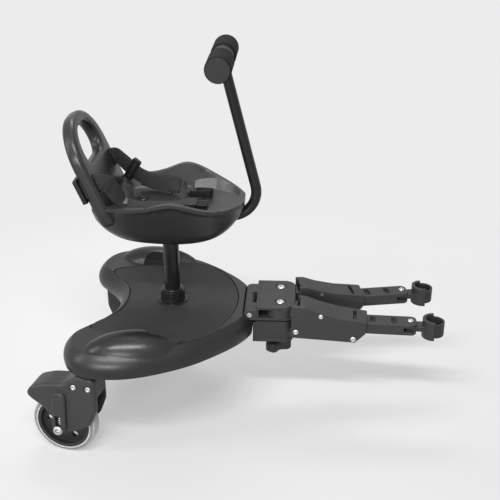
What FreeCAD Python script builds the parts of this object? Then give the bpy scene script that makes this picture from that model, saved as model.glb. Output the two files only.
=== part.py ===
import FreeCAD, Part
import math
import os
import re
from types import SimpleNamespace

# A ride-on board with a seat that is towed behind a pushchair. Sizes are in millimetres, angles in degrees.
# Heights are measured from the floor. The seat post's axis is the start of all lengths and widths: +X runs
# forwards to the pushchair, +Y across to the far side, +Z up. At the end the whole board moves along X, so
# that the origin lies on the floor under the middle of its length.

V = FreeCAD.Vector
UP = V(0, 0, 1)
DOWN = V(0, 0, -1)
ALONG = V(1, 0, 0)
ACROSS = V(0, 1, 0)
NEAR = -1
FAR = 1
SIDES = {"near": NEAR, "far": FAR}
COLLAR_FLUTES = 10
KNOB_LOBES = 3
HUB_WINDOWS = 6
SPRING_TURNS = 5
SPRING_SIDES = 8
LEVER_RIBS = 8
SLOTS_BEHIND_HOOK = 1
SLOTS_AHEAD_OF_HOOK = 2

SIZES = {
    # Fits between pieces
    "slip_gap": 0.3,
    "running_gap": 0.05,
    "overrun": 6.0,
    # Deck moulding
    "deck_length": 277.0,
    "deck_rear_reach": 147.0,
    "deck_half_width": 192.0,
    "deck_bottom": 148.6,
    "deck_rim_rise": 12.0,
    "deck_thickness": 34.0,
    "deck_wall": 9.0,
    "deck_plate": 6.0,
    "deck_rib": 3.0,
    "deck_rib_spacing": 52.0,
    "deck_rib_length": 130.0,
    "deck_rib_width": 250.0,
    "deck_foot_inset": 1.5,
    "deck_lip_inset": 13.0,
    "mat_thickness": 2.2,
    "mat_sink": 0.8,
    # Humps over the casters
    "hump_rear_inset": 105.0,
    "hump_side_inset": 46.0,
    "hump_sink": 16.0,
    "hump_length": 150.0,
    "hump_width": 68.0,
    "hump_height": 37.0,
    "hump_turn": 11.0,
    "hump_wall_lean": 11.0,
    # Seat post, its socket and its collar
    "post_diameter": 25.0,
    "post_lift": 6.0,
    "post_wall": 2.0,
    "socket_wall": 3.5,
    "socket_floor": 2.0,
    "socket_flange": 49.0,
    "socket_flange_height": 4.0,
    "socket_boss": 44.0,
    "collar_foot": 40.0,
    "collar_head": 33.0,
    "collar_height": 20.0,
    "collar_ring": 4.0,
    "collar_groove": 4.6,
    # Hinge between the board and the coupler
    "hinge_inset": 5.0,
    "hinge_drop": 2.0,
    "hinge_pin_diameter": 8.0,
    "knuckle_diameter": 17.0,
    "middle_knuckle": 37.0,
    "notch_depth": 15.5,
    "notch_sink": 12.0,
    "notch_play": 1.5,
    "nose_depth": 30.0,
    # Coupler block
    "block_setout": 5.5,
    "block_length": 61.0,
    "block_half_width": 46.0,
    "block_corner": 17.0,
    "block_lift": 1.0,
    "block_height": 25.0,
    "block_round": 2.0,
    "block_panel_inset": 4.0,
    "block_panel_depth": 0.8,
    "block_floor": 4.0,
    "block_roof": 6.0,
    "block_web": 4.0,
    "bolt_diameter": 8.0,
    "bolt_head": 13.0,
    "bolt_head_height": 3.0,
    "bolt_recess": 18.0,
    # Clamp housing under the block, and its knob
    "housing_gap_to_nose": 0.5,
    "housing_inset": 5.0,
    "housing_height": 39.0,
    "housing_lip": 4.0,
    "housing_shoulder": 5.0,
    "knob_inset": 32.5,
    "knob_diameter": 46.0,
    "knob_waist": 26.0,
    "knob_lobe": 20.0,
    "knob_lobe_round": 8.0,
    "knob_waist_round": 6.0,
    "knob_drop": 35.0,
    "knob_height": 18.0,
    "knob_round": 5.0,
    "knob_neck": 18.0,
    "knob_screw": 8.0,
    # Towing arms, measured from their swing bolts
    "arm_bolt_inset": 37.5,
    "arm_bolt_edge": 20.4,
    "arm_near_turn": 2.5,
    "arm_far_turn": 11.0,
    "arm_start": 18.5,
    "arm_inner_start": 28.0,
    "arm_end": 136.0,
    "arm_half_width": 20.5,
    "arm_outset": 3.4,
    "arm_drop": 30.5,
    "arm_height": 60.0,
    "arm_round": 1.5,
    "arm_relief": 54.0,
    "arm_skirt": 4.0,
    "tongue_diameter": 44.0,
    "bar_width": 30.0,
    "bar_height": 18.0,
    "bar_rise": 32.5,
    "bar_start": 66.0,
    "bar_length": 146.0,
    "bar_slot_length": 8.6,
    "bar_slot_width": 20.0,
    "bar_slot_depth": 5.0,
    "bar_slot_pitch": 33.0,
    "bar_end_radius": 9.0,
    "bar_round": 1.0,
    "bar_fork_length": 20.0,
    "bar_fork_gap": 8.0,
    "lever_width": 30.0,
    "lever_pivot": 64.0,
    "lever_pivot_rise": 43.5,
    "lever_swing_gap": 4.0,
    "lever_rib": 0.8,
    "lever_rib_pitch": 2.2,
    "lever_pin_diameter": 5.0,
    "lever_pin_head": 7.5,
    "lever_hook_length": 5.0,
    "lever_hook_play": 0.9,
    "lever_hook_lead": 4.125,
    "lever_bay_rise": 3.0,
    "small_screw": 4.5,
    "small_screw_head": 9.0,
    "small_screw_head_height": 2.0,
    "small_screw_length": 14.0,
    # Connectors that hold a pushchair leg
    "connector_pin_diameter": 6.0,
    "connector_pin_head": 9.6,
    "connector_tongue": 20.0,
    "connector_reach": 36.0,
    "leg_diameter": 26.0,
    "saddle_wall": 5.0,
    "saddle_height": 30.0,
    "connector_strap_thickness": 3.0,
    "connector_strap_width": 22.0,
    # Casters, measured from their swivel axes
    "caster_rear_inset": 34.5,
    "caster_side_inset": 34.0,
    "caster_near_turn": 12.0,
    "caster_far_turn": 172.0,
    "caster_trail": 36.0,
    "caster_boss": 22.0,
    "stem_diameter": 10.0,
    "stem_reach": 17.0,
    "stem_play": 2.0,
    "stem_washer": 22.0,
    "bush_wall": 2.0,
    "wheel_diameter": 100.0,
    "wheel_width": 24.0,
    "tyre_thickness": 8.0,
    "tyre_crown": 5.0,
    "hub_rim": 5.0,
    "hub_web": 7.0,
    "hub_boss": 32.0,
    "hub_window": 11.0,
    "hub_length": 25.0,
    "bearing_diameter": 22.0,
    "bearing_width": 7.0,
    "axle_diameter": 8.0,
    "axle_head": 15.0,
    "axle_head_height": 5.0,
    "fork_length": 115.0,
    "fork_front": 25.0,
    "fork_drop": 8.0,
    "swivel_gap": 5.0,
    "fork_half_width": 22.0,
    "fork_round": 6.0,
    "fork_slot": 28.0,
    "leg_width": 22.0,
    "leg_rise": 6.0,
    "leg_lean": 4.0,
    "leg_round_share": 0.9,
    "leg_round": 3.0,
    "leg_drop": 29.0,
    "fork_wheel_gap": 3.0,
    "fork_screw_drop": 19.0,
    "fork_screw_setback": 9.0,
    "fork_screw_pitch": 23.0,
    "fork_screw_recess": 13.0,
    "fork_screw_recess_depth": 1.5,
    "suspension_travel": 8.0,
    "spring_diameter": 8.0,
    "spring_wire": 1.3,
    "spring_length": 19.0,
    "spring_play": 0.4,
    "spring_least_gap": 0.4,
    # Seat
    "seat_rear": 104.0,
    "seat_front": 116.0,
    "seat_half_width": 94.0,
    "seat_rise": 111.0,
    "seat_depth": 88.0,
    "seat_floor_rise": 60.0,
    "seat_lip": 8.0,
    "seat_lip_step": 3.0,
    "seat_foot_share": 0.62,
    "seat_floor_thickness": 7.0,
    "front_notch_drop": 5.0,
    "seat_well_length": 124.0,
    "seat_well_width": 88.0,
    "seat_well_radius": 12.0,
    "back_inset": 17.0,
    "back_lean": 22.3,
    "back_thickness": 20.0,
    "back_round": 7.0,
    "back_height": 141.5,
    "back_half_width": 77.5,
    "belt_slot_width": 7.0,
    "belt_slot_height": 29.0,
    "belt_slot_offset": 61.0,
    "belt_slot_rise": 46.0,
    "plate_length": 112.0,
    "plate_width": 50.0,
    "plate_thickness": 3.0,
    "seat_screw_pitch": 86.0,
    "seat_screw_shift": 3.0,
    "seat_screw_recess": 20.0,
    "seat_screw_recess_depth": 2.0,
    # Handle
    "tube_diameter": 16.0,
    "tube_wall": 1.8,
    "tube_drop": 25.0,
    "tube_inset": 22.6,
    "tube_bend": 40.0,
    "tube_lean": 14.0,
    "tube_rise": 198.0,
    "grip_length": 158.0,
    "grip_diameter": 38.0,
    "grip_tube": 16.0,
    "grip_fitting": 32.0,
    "grip_fitting_length": 28.0,
    "grip_cap": 34.0,
    "grip_cap_thickness": 3.0,
    "grip_cap_plug": 8.0,
    # Waist belt
    "webbing_width": 25.0,
    "webbing_thickness": 2.0,
    "webbing_play": 1.0,
    "slider_length": 26.0,
    "adjuster_length": 14.0,
    "slider_width": 38.0,
    "slider_thickness": 6.0,
    "slider_bar": 5.0,
    "buckle_length": 34.0,
    "buckle_width": 30.0,
    "buckle_thickness": 10.0,
    "buckle_round": 4.0,
    "tongue_prong": 5.0,
    "tongue_prong_length": 16.0,
    "tongue_thickness_share": 0.8,
}

# Heights and places that follow from the sizes
PLACES = {
    "deck_rim": "deck_bottom + deck_rim_rise",
    "deck_top": "deck_bottom + deck_thickness",
    "deck_front": "deck_length - deck_rear_reach",
    "hump_setback": "deck_rear_reach - hump_rear_inset",
    "hump_offset": "deck_half_width - hump_side_inset",
    "hump_middle": "deck_top - hump_sink",
    "post_foot": "deck_bottom + post_lift",
    "hinge_reach": "deck_front - hinge_inset",
    "hinge_height": "deck_top - hinge_drop",
    "knuckle_span": "2 * block_half_width",
    "notch_reach": "deck_front - notch_depth",
    "notch_floor": "deck_top - notch_sink",
    "notch_width": "knuckle_span + 2 * notch_play",
    "block_rear": "deck_front + block_setout",
    "block_bottom": "notch_floor + block_lift",
    "housing_bottom": "block_bottom - housing_height",
    "knob_reach": "block_rear + knob_inset",
    "knob_bottom": "housing_bottom - knob_drop",
    "arm_bolt_reach": "block_rear + arm_bolt_inset",
    "arm_bolt_offset": "block_half_width - arm_bolt_edge",
    "arm_bottom": "block_bottom - arm_drop",
    "bar_top": "arm_bottom + bar_rise",
    "lever_pivot_height": "arm_bottom + lever_pivot_rise",
    "lever_bay_floor": "bar_top + lever_bay_rise",
    "caster_setback": "deck_rear_reach - caster_rear_inset",
    "caster_offset": "deck_half_width - caster_side_inset",
    "stem_top": "deck_bottom + stem_reach",
    "bush_top": "stem_top + stem_play",
    "fork_bottom": "wheel_diameter / 2 - fork_drop",
    "fork_top": "deck_bottom - swivel_gap",
    "fork_slot_rise": "wheel_diameter + suspension_travel",
    "leg_top": "fork_top - leg_drop",
    "fork_screw_height": "fork_top - fork_screw_drop",
    "seat_bottom": "deck_top + seat_rise",
    "seat_floor": "seat_bottom + seat_floor_rise",
    "front_notch_top": "seat_floor - front_notch_drop",
    "back_setback": "seat_rear - back_inset",
    "tube_level": "seat_floor - tube_drop",
    "tube_run": "seat_front - tube_inset",
}

doc = FreeCAD.newDocument("BuggyBoard")
sheet = doc.addObject("Spreadsheet::Sheet", "Sizes")
cells = {name: str(value) for name, value in SIZES.items()}
cells.update({name: "=" + formula for name, formula in PLACES.items()})
for row, (name, content) in enumerate(cells.items(), 1):
    sheet.set(f"A{row}", name)
    sheet.set(f"B{row}", content)
    sheet.setAlias(f"B{row}", name)
doc.recompute()
s = SimpleNamespace(**{name: float(sheet.get(name)) for name in cells})
sub_parts = []


def bound(expression):
    """Sheet form of an expression in named sizes."""
    return re.sub(r"[a-z]\w*", lambda word: "Sizes." + word.group(), expression)


def placed(x=0.0, y=0.0, z=0.0, turn=0.0):
    return FreeCAD.Placement(V(x, y, z), FreeCAD.Rotation(UP, turn))


def keep(thing, label, placement=None):
    """Names a finished sub-part, and puts it where it belongs."""
    thing.Label = label
    if placement:
        thing.Placement = placement * thing.Placement
    sub_parts.append(thing)
    return thing


def rod(diameter, length, base, axis=UP):
    """Round bar, or a cutter for a round hole, whose diameter and length are expressions."""
    bar = doc.addObject("Part::Cylinder", "Rod")
    bar.setExpression("Radius", bound(f"({diameter}) / 2"))
    bar.setExpression("Height", bound(length))
    bar.Placement = FreeCAD.Placement(base, FreeCAD.Rotation(UP, axis))
    return bar


def size_text(expression):
    """Expression with each named size written as its number."""
    return re.sub(r"[a-z]\w*", lambda word: repr(getattr(s, word.group())), expression)


def slab(length, width, height, middle_of_foot):
    """Box that stands on the middle of its foot."""
    box = doc.addObject("Part::Box", "Slab")
    for name, size in (("Length", length), ("Width", width), ("Height", height)):
        box.setExpression(name, bound(size))
    half_length = sheet.evalExpression(size_text(length)) / 2
    half_width = sheet.evalExpression(size_text(width)) / 2
    box.Placement.Base = middle_of_foot - V(half_length, half_width, 0)
    return box


def joined(*things):
    union = doc.addObject("Part::MultiFuse", "Union")
    union.Shapes = list(things)
    return union


def grouped(*things):
    """Separate solids that make one sub-part."""
    group = doc.addObject("Part::Compound", "Group")
    group.Links = list(things)
    return group


def cut(base, *tools):
    difference = doc.addObject("Part::Cut", "Difference")
    difference.Base = base
    difference.Tool = tools[0] if len(tools) == 1 else joined(*tools)
    return difference


def rounded(drawing, corners):
    """Closed outline of straight lines, with each corner (x, y, radius) rounded."""
    ends = []
    for i, (x, y, radius) in enumerate(corners):
        corner = V(x, y, 0)
        before = (V(*corners[i - 1][:2], 0) - corner).normalize()
        after = (V(*corners[(i + 1) % len(corners)][:2], 0) - corner).normalize()
        start = corner
        end = corner
        if radius:
            half = before.getAngle(after) / 2
            start = corner + before * (radius / math.tan(half))
            end = corner + after * (radius / math.tan(half))
            bisector = (before + after).normalize()
            middle = corner + bisector * (radius / math.sin(half) - radius)
            drawing.addGeometry(Part.Arc(start, middle, end))
        ends.append((start, end))
    for (_, start), (end, _) in zip(ends, ends[1:] + ends[:1]):
        if not start.isEqual(end, s.running_gap):
            drawing.addGeometry(Part.LineSegment(start, end))


def circle(drawing, x, y, diameter):
    drawing.addGeometry(Part.Circle(V(x, y, 0), V(0, 0, 1), diameter / 2))


def rectangle(drawing, left, right, low, high, radius=0.0):
    corners = [(left, low), (right, low), (right, high), (left, high)]
    rounded(drawing, [(x, y, radius) for x, y in corners])


def flowing(drawing, points, closed):
    """Smooth line through points. An open one is closed by a straight line."""
    curve = Part.BSplineCurve()
    curve.interpolate(Points=[V(x, y, 0) for x, y in points], PeriodicFlag=closed)
    drawing.addGeometry(curve)
    if not closed:
        drawing.addGeometry(Part.LineSegment(V(*points[-1], 0), V(*points[0], 0)))


class Moulding:
    """Body built from sketches on its own origin planes."""

    def __init__(self, label):
        self.body = doc.addObject("PartDesign::Body", "Body")
        self.body.Label = label

    def origin(self, role):
        return next(item for item in self.body.Origin.OriginFeatures if item.Role == role)

    def sketch(self, plane, level="0"):
        drawing = self.body.newObject("Sketcher::SketchObject", "Outline")
        drawing.AttachmentSupport = (self.origin(plane), [""])
        drawing.MapMode = "FlatFace"
        drawing.setExpression("AttachmentOffset.Base.z", bound(level))
        return drawing

    def extrude(self, kind, drawing, length, flip=False, symmetric=False):
        feature = self.body.newObject("PartDesign::" + kind, kind)
        feature.Profile = drawing
        feature.setExpression("Length", bound(length))
        feature.Reversed = flip
        if symmetric:
            feature.SideType = "Symmetric"
        return feature

    def pad(self, drawing, length, flip=False, symmetric=False):
        return self.extrude("Pad", drawing, length, flip, symmetric)

    def pocket(self, drawing, depth, flip=False, symmetric=False):
        return self.extrude("Pocket", drawing, depth, flip, symmetric)

    def revolve(self, drawing, axis, kind="Revolution"):
        feature = self.body.newObject("PartDesign::" + kind, kind)
        feature.Profile = drawing
        feature.ReferenceAxis = (self.origin(axis), [""])
        feature.Angle = 360
        return feature

    def loft(self, kind, drawings, ruled=False):
        feature = self.body.newObject("PartDesign::" + kind, kind)
        feature.Profile = drawings[0]
        feature.Sections = drawings[1:]
        feature.Ruled = ruled
        return feature

    def repeat(self, features, axis, count):
        pattern = self.body.newObject("PartDesign::PolarPattern", "Pattern")
        pattern.Originals = features
        pattern.Axis = (self.origin(axis), [""])
        pattern.Angle = 360
        pattern.Occurrences = count
        self.body.Tip = pattern
        return pattern

    def soften(self, feature, radius):
        """Rounds every edge that the body has so far."""
        doc.recompute()
        fillet = self.body.newObject("PartDesign::Fillet", "Fillet")
        fillet.Base = (feature, [f"Edge{i + 1}" for i in range(len(feature.Shape.Edges))])
        fillet.setExpression("Radius", bound(radius))
        return fillet

    def soften_face(self, feature, reach, radius):
        """Rounds the edges of the body's flat face that lies across Y at a reach."""
        doc.recompute()
        chosen = []
        for i, edge in enumerate(feature.Shape.Edges, 1):
            box = edge.BoundBox
            if abs(box.YMin - reach) < s.running_gap and abs(box.YMax - reach) < s.running_gap:
                chosen.append(f"Edge{i}")
        fillet = self.body.newObject("PartDesign::Fillet", "Fillet")
        fillet.Base = (feature, chosen)
        fillet.setExpression("Radius", bound(radius))
        return fillet


# Deck outline, as shares of the deck's length from the lobes' tips and of its half width
DECK_SHARES = [
    (0.215, 0.0), (0.2, 0.16), (0.145, 0.32), (0.056, 0.48), (0.006, 0.6), (0.01, 0.76),
    (0.056, 0.89), (0.13, 0.97), (0.24, 1.0), (0.375, 0.982), (0.56, 0.88), (0.695, 0.765),
    (0.83, 0.595), (0.945, 0.405), (1.0, 0.25),
]
# Outline of the mat's recess, in the same shares
MAT_SHARES = [
    (0.275, 0.0), (0.255, 0.2), (0.195, 0.335), (0.13, 0.455), (0.126, 0.51), (0.22, 0.588),
    (0.386, 0.667), (0.495, 0.697), (0.605, 0.69), (0.708, 0.64), (0.8, 0.51), (0.868, 0.32),
    (0.9, 0.14), (0.908, 0.0),
]


def deck_points(shares):
    """Outline over both sides, from the front near corner round the rear to the front far corner."""
    half = [(x * s.deck_length - s.deck_rear_reach, y * s.deck_half_width) for x, y in shares]
    near_half = [(x, -y) for x, y in reversed(half[1:])]
    points = near_half + half
    return points[1:] if points[0] == points[-1] else points


def inset(points, distance, closed):
    """Outline moved inwards, square to the line between each point's neighbours."""
    moved = []
    last = len(points) - 1
    for i, (x, y) in enumerate(points):
        before = points[i - 1] if closed or i else points[0]
        after = points[(i + 1) % len(points)] if closed or i < last else points[last]
        run = V(after[0] - before[0], after[1] - before[1], 0).normalize()
        moved.append((x + run.y * distance, y - run.x * distance))
    return moved


deck_outline = deck_points(DECK_SHARES)
mat_outline = deck_points(MAT_SHARES)
recess_floor = "deck_top - mat_sink - mat_thickness"

# Deck: a shell with a rounded rim, humps over the casters, and ribs below
deck = Moulding("platform")
deck_levels = [("deck_bottom", s.deck_foot_inset), ("deck_rim", 0.0), ("deck_top", s.deck_lip_inset)]
deck_rings = []
for level, step in deck_levels:
    ring = deck.sketch("XY_Plane", level)
    flowing(ring, inset(deck_outline, step, False), False)
    deck_rings.append(ring)
deck.loft("AdditiveLoft", deck_rings)
for side in SIDES.values():
    hump = deck.body.newObject("PartDesign::AdditiveEllipsoid", "Hump")
    hump.AttachmentSupport = (deck.origin("XY_Plane"), [""])
    hump.MapMode = "FlatFace"
    turn = -side * s.hump_turn
    hump.AttachmentOffset = placed(-s.hump_setback, side * s.hump_offset, s.hump_middle, turn)
    hump.setExpression("Radius1", bound("hump_height"))
    hump.setExpression("Radius2", bound("hump_length / 2"))
    hump.setExpression("Radius3", bound("hump_width / 2"))
under_cut = deck.sketch("XY_Plane", "deck_bottom")
rectangle(under_cut, -s.deck_length, s.deck_length, -2 * s.deck_half_width, 2 * s.deck_half_width)
deck.pocket(under_cut, "hump_height")
recess_foot = deck.sketch("XY_Plane", recess_floor)
flowing(recess_foot, mat_outline, True)
recess_head = deck.sketch("XY_Plane", "deck_top + hump_height / 2")
flowing(recess_head, inset(mat_outline, -s.hump_wall_lean, True), True)
deck.loft("SubtractiveLoft", [recess_foot, recess_head], ruled=True)
hollow = deck.sketch("XY_Plane", "deck_bottom")
flowing(hollow, inset(deck_outline, s.deck_foot_inset + s.deck_wall, False), False)
deck.pocket(hollow, f"{recess_floor} - deck_plate - deck_bottom", flip=True)
ribs = deck.sketch("XY_Plane", "deck_bottom + deck_rib")
for i in (-1, 0, 1):
    middle = i * s.deck_rib_spacing
    rectangle(ribs, middle - s.deck_rib / 2, middle + s.deck_rib / 2, -s.deck_rib_width / 2,
              s.deck_rib_width / 2)
deck.pad(ribs, f"{recess_floor} - deck_bottom - deck_plate")
long_ribs = deck.sketch("XY_Plane", "deck_bottom + deck_rib")
for i in (-1.5, -0.5, 0.5, 1.5):
    middle = i * s.deck_rib_spacing
    rectangle(long_ribs, -s.deck_rib_length / 2, s.deck_rib_length / 2, middle - s.deck_rib / 2,
              middle + s.deck_rib / 2)
deck.pad(long_ribs, f"{recess_floor} - deck_bottom - deck_plate")
bosses = deck.sketch("XY_Plane", "deck_bottom")
circle(bosses, 0, 0, s.socket_boss)
nose_half = s.notch_width / 2
rectangle(bosses, s.deck_front - s.nose_depth, s.deck_front - s.deck_foot_inset, -nose_half, nose_half)
deck.pad(bosses, f"{recess_floor} - deck_bottom")
stem_bosses = deck.sketch("XY_Plane", "deck_bottom")
for side in SIDES.values():
    circle(stem_bosses, -s.caster_setback, side * s.caster_offset, s.caster_boss)
deck.pad(stem_bosses, f"{recess_floor} - deck_bottom")
sockets = deck.sketch("XY_Plane", "deck_bottom")
circle(sockets, 0, 0, s.post_diameter + 2 * (s.socket_wall + s.running_gap))
deck.pocket(sockets, "deck_top - deck_bottom", flip=True)
stem_wells = deck.sketch("XY_Plane", "deck_bottom")
for side in SIDES.values():
    circle(stem_wells, -s.caster_setback, side * s.caster_offset,
           s.stem_diameter + 2 * (s.bush_wall + s.running_gap))
deck.pocket(stem_wells, "bush_top - deck_bottom", flip=True)
notch = deck.sketch("XY_Plane", "notch_floor")
rectangle(notch, s.notch_reach, s.deck_front + s.overrun, -nose_half, nose_half)
deck.pocket(notch, "deck_top", flip=True)
keep(deck.body, "platform")

mat = Moulding("grip_mat")
mat_sheet = mat.sketch("XY_Plane", recess_floor)
flowing(mat_sheet, inset(mat_outline, s.slip_gap, True), True)
circle(mat_sheet, 0, 0, s.socket_flange + 2 * s.slip_gap)
mat.pad(mat_sheet, "mat_thickness")
keep(mat.body, "grip_mat")

# Socket for the post: a flanged cup through the deck, and the ribbed collar on it
floor_of_recess = s.deck_top - s.mat_sink - s.mat_thickness
post_radius = s.post_diameter / 2
socket = Moulding("post_socket")
socket_bore = post_radius + s.running_gap
socket_radius = post_radius + s.socket_wall
flange_top = floor_of_recess + s.socket_flange_height
socket_half = socket.sketch("XZ_Plane")
rounded(socket_half, [
    (0, s.deck_bottom, 0), (socket_radius, s.deck_bottom, 0), (socket_radius, floor_of_recess, 0),
    (s.socket_flange / 2, floor_of_recess, 0), (s.socket_flange / 2, flange_top, s.socket_floor / 2),
    (socket_bore, flange_top, 0), (socket_bore, s.post_foot - s.slip_gap, 0),
    (0, s.post_foot - s.slip_gap, 0),
])
socket.revolve(socket_half, "Z_Axis")
keep(socket.body, "post_socket")

collar = Moulding("post_collar")
collar_foot = flange_top + s.slip_gap
collar_top = collar_foot + s.collar_height
collar_half = collar.sketch("XZ_Plane")
collar_bore = post_radius + s.running_gap
rounded(collar_half, [
    (collar_bore, collar_foot, 0), (s.collar_foot / 2, collar_foot, 0),
    (s.collar_head / 2 + s.collar_ring / 2, collar_top - s.collar_ring, 0),
    (s.collar_head / 2, collar_top - s.collar_ring, 0), (s.collar_head / 2, collar_top, s.collar_ring / 4),
    (collar_bore, collar_top, 0),
])
collar.revolve(collar_half, "Z_Axis")
groove = collar.sketch("XY_Plane", f"{recess_floor} + socket_flange_height + slip_gap + collar_ring")
circle(groove, s.collar_foot / 2, 0, s.collar_groove)
flutes = collar.pocket(groove, "collar_height - 2 * collar_ring", flip=True)
collar.repeat([flutes], "Z_Axis", COLLAR_FLUTES)
keep(collar.body, "post_collar")

# Hinge: a knuckle on the board between two on the coupler, on one pin
hinge_line = V(s.hinge_reach, 0, s.hinge_height)
bracket_foot = slab("knuckle_diameter - slip_gap", "middle_knuckle", "hinge_height - notch_floor",
                    V(s.hinge_reach, 0, s.notch_floor))
bracket_side = hinge_line - ACROSS * (s.middle_knuckle / 2)
pin_side = hinge_line - ACROSS * (s.knuckle_span / 2)
bracket_round = rod("knuckle_diameter", "middle_knuckle", bracket_side, ACROSS)
bracket_hole = rod("hinge_pin_diameter", "knuckle_span", pin_side, ACROSS)
keep(cut(joined(bracket_foot, bracket_round), bracket_hole), "hinge_bracket")
hinge_pin = rod("hinge_pin_diameter", "knuckle_span", pin_side, ACROSS)
keep(hinge_pin, "hinge_pin")

# Coupler block: a forked plate that the two arm tongues swing in
block = Moulding("coupler_block")
block_front = s.block_rear + s.block_length


def block_outline(drawing, rear, step):
    """Plan of the block, inset by a step, with its front corners rounded."""
    front = block_front - step
    half = s.block_half_width - step
    far_half = [(front, half, s.block_corner - step), (rear, half, 0)]
    rounded(drawing, [(x, -y, r) for x, y, r in reversed(far_half)] + far_half)


block_plan = block.sketch("XY_Plane", "block_bottom")
block_outline(block_plan, s.block_rear, 0.0)
block.soften(block.pad(block_plan, "block_height"), "block_round")
mouth = block.sketch("XY_Plane", "block_bottom + block_floor")
rectangle(mouth, s.block_rear + s.block_web, block_front + s.overrun, -s.block_half_width - s.overrun,
          s.block_half_width + s.overrun)
block.pocket(mouth, "block_height - block_floor - block_roof", flip=True)
knuckles = block.sketch("XZ_Plane")
circle(knuckles, s.hinge_reach, s.hinge_height, s.knuckle_diameter)
block.pad(knuckles, "knuckle_span - 2 * slip_gap", symmetric=True)
links = block.sketch("XZ_Plane")
link_low = s.block_bottom + s.slip_gap
link_high = s.hinge_height + s.knuckle_diameter / 2
rectangle(links, s.hinge_reach, s.block_rear + s.slip_gap, link_low, link_high)
block.pad(links, "knuckle_span - 2 * slip_gap", symmetric=True)
knuckle_gap = block.sketch("XY_Plane", "notch_floor")
gap_half = s.middle_knuckle / 2 + s.slip_gap
rectangle(knuckle_gap, s.notch_reach, s.block_rear, -gap_half, gap_half)
block.pocket(knuckle_gap, "block_height", flip=True)
pin_hole = block.sketch("XZ_Plane")
circle(pin_hole, s.hinge_reach, s.hinge_height, s.hinge_pin_diameter + 2 * s.running_gap)
block.pocket(pin_hole, "knuckle_span + overrun", symmetric=True)
panel = block.sketch("XY_Plane", "block_bottom + block_height - block_panel_depth")
block_outline(panel, s.block_rear + s.block_panel_inset, s.block_panel_inset)
block.pocket(panel, "overrun", flip=True)
bolt_holes = block.sketch("XY_Plane", "block_bottom")
recesses = block.sketch("XY_Plane", "block_bottom + block_height - bolt_head_height")
for side in SIDES.values():
    circle(bolt_holes, s.arm_bolt_reach, side * s.arm_bolt_offset, s.bolt_diameter)
    circle(recesses, s.arm_bolt_reach, side * s.arm_bolt_offset, s.bolt_recess)
block.pocket(bolt_holes, "block_height", flip=True)
block.pocket(recesses, "bolt_head_height + overrun", flip=True)
keep(block.body, "coupler_block")

arm_bolts = []
for side in SIDES.values():
    bolt_foot = V(s.arm_bolt_reach, side * s.arm_bolt_offset, s.block_bottom)
    shank = rod("bolt_diameter", "block_height - bolt_head_height", bolt_foot)
    head = rod("bolt_head", "bolt_head_height", bolt_foot + UP * (s.block_height - s.bolt_head_height))
    arm_bolts.append(joined(shank, head))
keep(grouped(*arm_bolts), "arm_bolts")

# Clamp housing under the block, with the wing knob that tightens it
housing = Moulding("clamp_housing")
housing_rear = s.deck_front + s.housing_gap_to_nose
housing_lip = housing.sketch("XY_Plane", "housing_bottom")
block_outline(housing_lip, housing_rear, s.housing_inset - s.housing_lip / 2)
housing.pad(housing_lip, "housing_lip")
housing_body = housing.sketch("XY_Plane", "housing_bottom + housing_lip")
block_outline(housing_body, housing_rear, s.housing_inset)
housing.pad(housing_body, "block_bottom - housing_bottom - housing_lip - housing_shoulder")
shoulder_foot = housing.sketch("XY_Plane", "block_bottom - housing_shoulder")
block_outline(shoulder_foot, housing_rear, s.housing_inset)
shoulder_head = housing.sketch("XY_Plane", "block_bottom")
block_outline(shoulder_head, housing_rear, s.housing_inset + s.housing_shoulder)
housing.loft("AdditiveLoft", [shoulder_foot, shoulder_head], ruled=True)
hinge_relief = housing.sketch("XZ_Plane")
rectangle(hinge_relief, housing_rear - s.overrun, s.block_rear + s.slip_gap,
          s.notch_floor - s.housing_shoulder, s.block_bottom + s.overrun)
housing.pocket(hinge_relief, "2 * knuckle_span", symmetric=True)
screw_hole = housing.sketch("XY_Plane", "housing_bottom")
circle(screw_hole, s.knob_reach, 0, s.knob_screw + 2 * s.running_gap)
housing.pocket(screw_hole, "block_bottom - housing_bottom", flip=True)
keep(housing.body, "clamp_housing")

knob = Moulding("wing_knob")
knob_plan = knob.sketch("XY_Plane", "knob_bottom")
knob_outline = []
for i in range(KNOB_LOBES):
    lobe_turn = FreeCAD.Rotation(UP, 360 * i / KNOB_LOBES)
    waist_turn = FreeCAD.Rotation(UP, 360 * (i + 0.5) / KNOB_LOBES)
    for y in (-s.knob_lobe / 2, s.knob_lobe / 2):
        corner = lobe_turn.multVec(V(s.knob_diameter / 2, y, 0))
        knob_outline.append((corner.x, corner.y, s.knob_lobe_round))
    valley = waist_turn.multVec(V(s.knob_waist / 2, 0, 0))
    knob_outline.append((valley.x, valley.y, s.knob_waist_round))
rounded(knob_plan, knob_outline)
knob.soften(knob.pad(knob_plan, "knob_height"), "knob_round")
neck = knob.sketch("XY_Plane", "knob_bottom")
circle(neck, 0, 0, s.knob_neck)
knob.pad(neck, "housing_bottom - knob_bottom - slip_gap")
bore = knob.sketch("XY_Plane", "knob_bottom + knob_height / 2")
circle(bore, 0, 0, s.knob_screw)
knob.pocket(bore, "housing_bottom - knob_bottom", flip=True)
keep(knob.body, "wing_knob", placed(s.knob_reach))
knob_screw_foot = V(s.knob_reach, 0, s.knob_bottom + s.knob_height / 2)
clamp_screw = rod("knob_screw", "block_bottom - slip_gap - knob_bottom - knob_height / 2", knob_screw_foot)
keep(clamp_screw, "clamp_screw")

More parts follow.
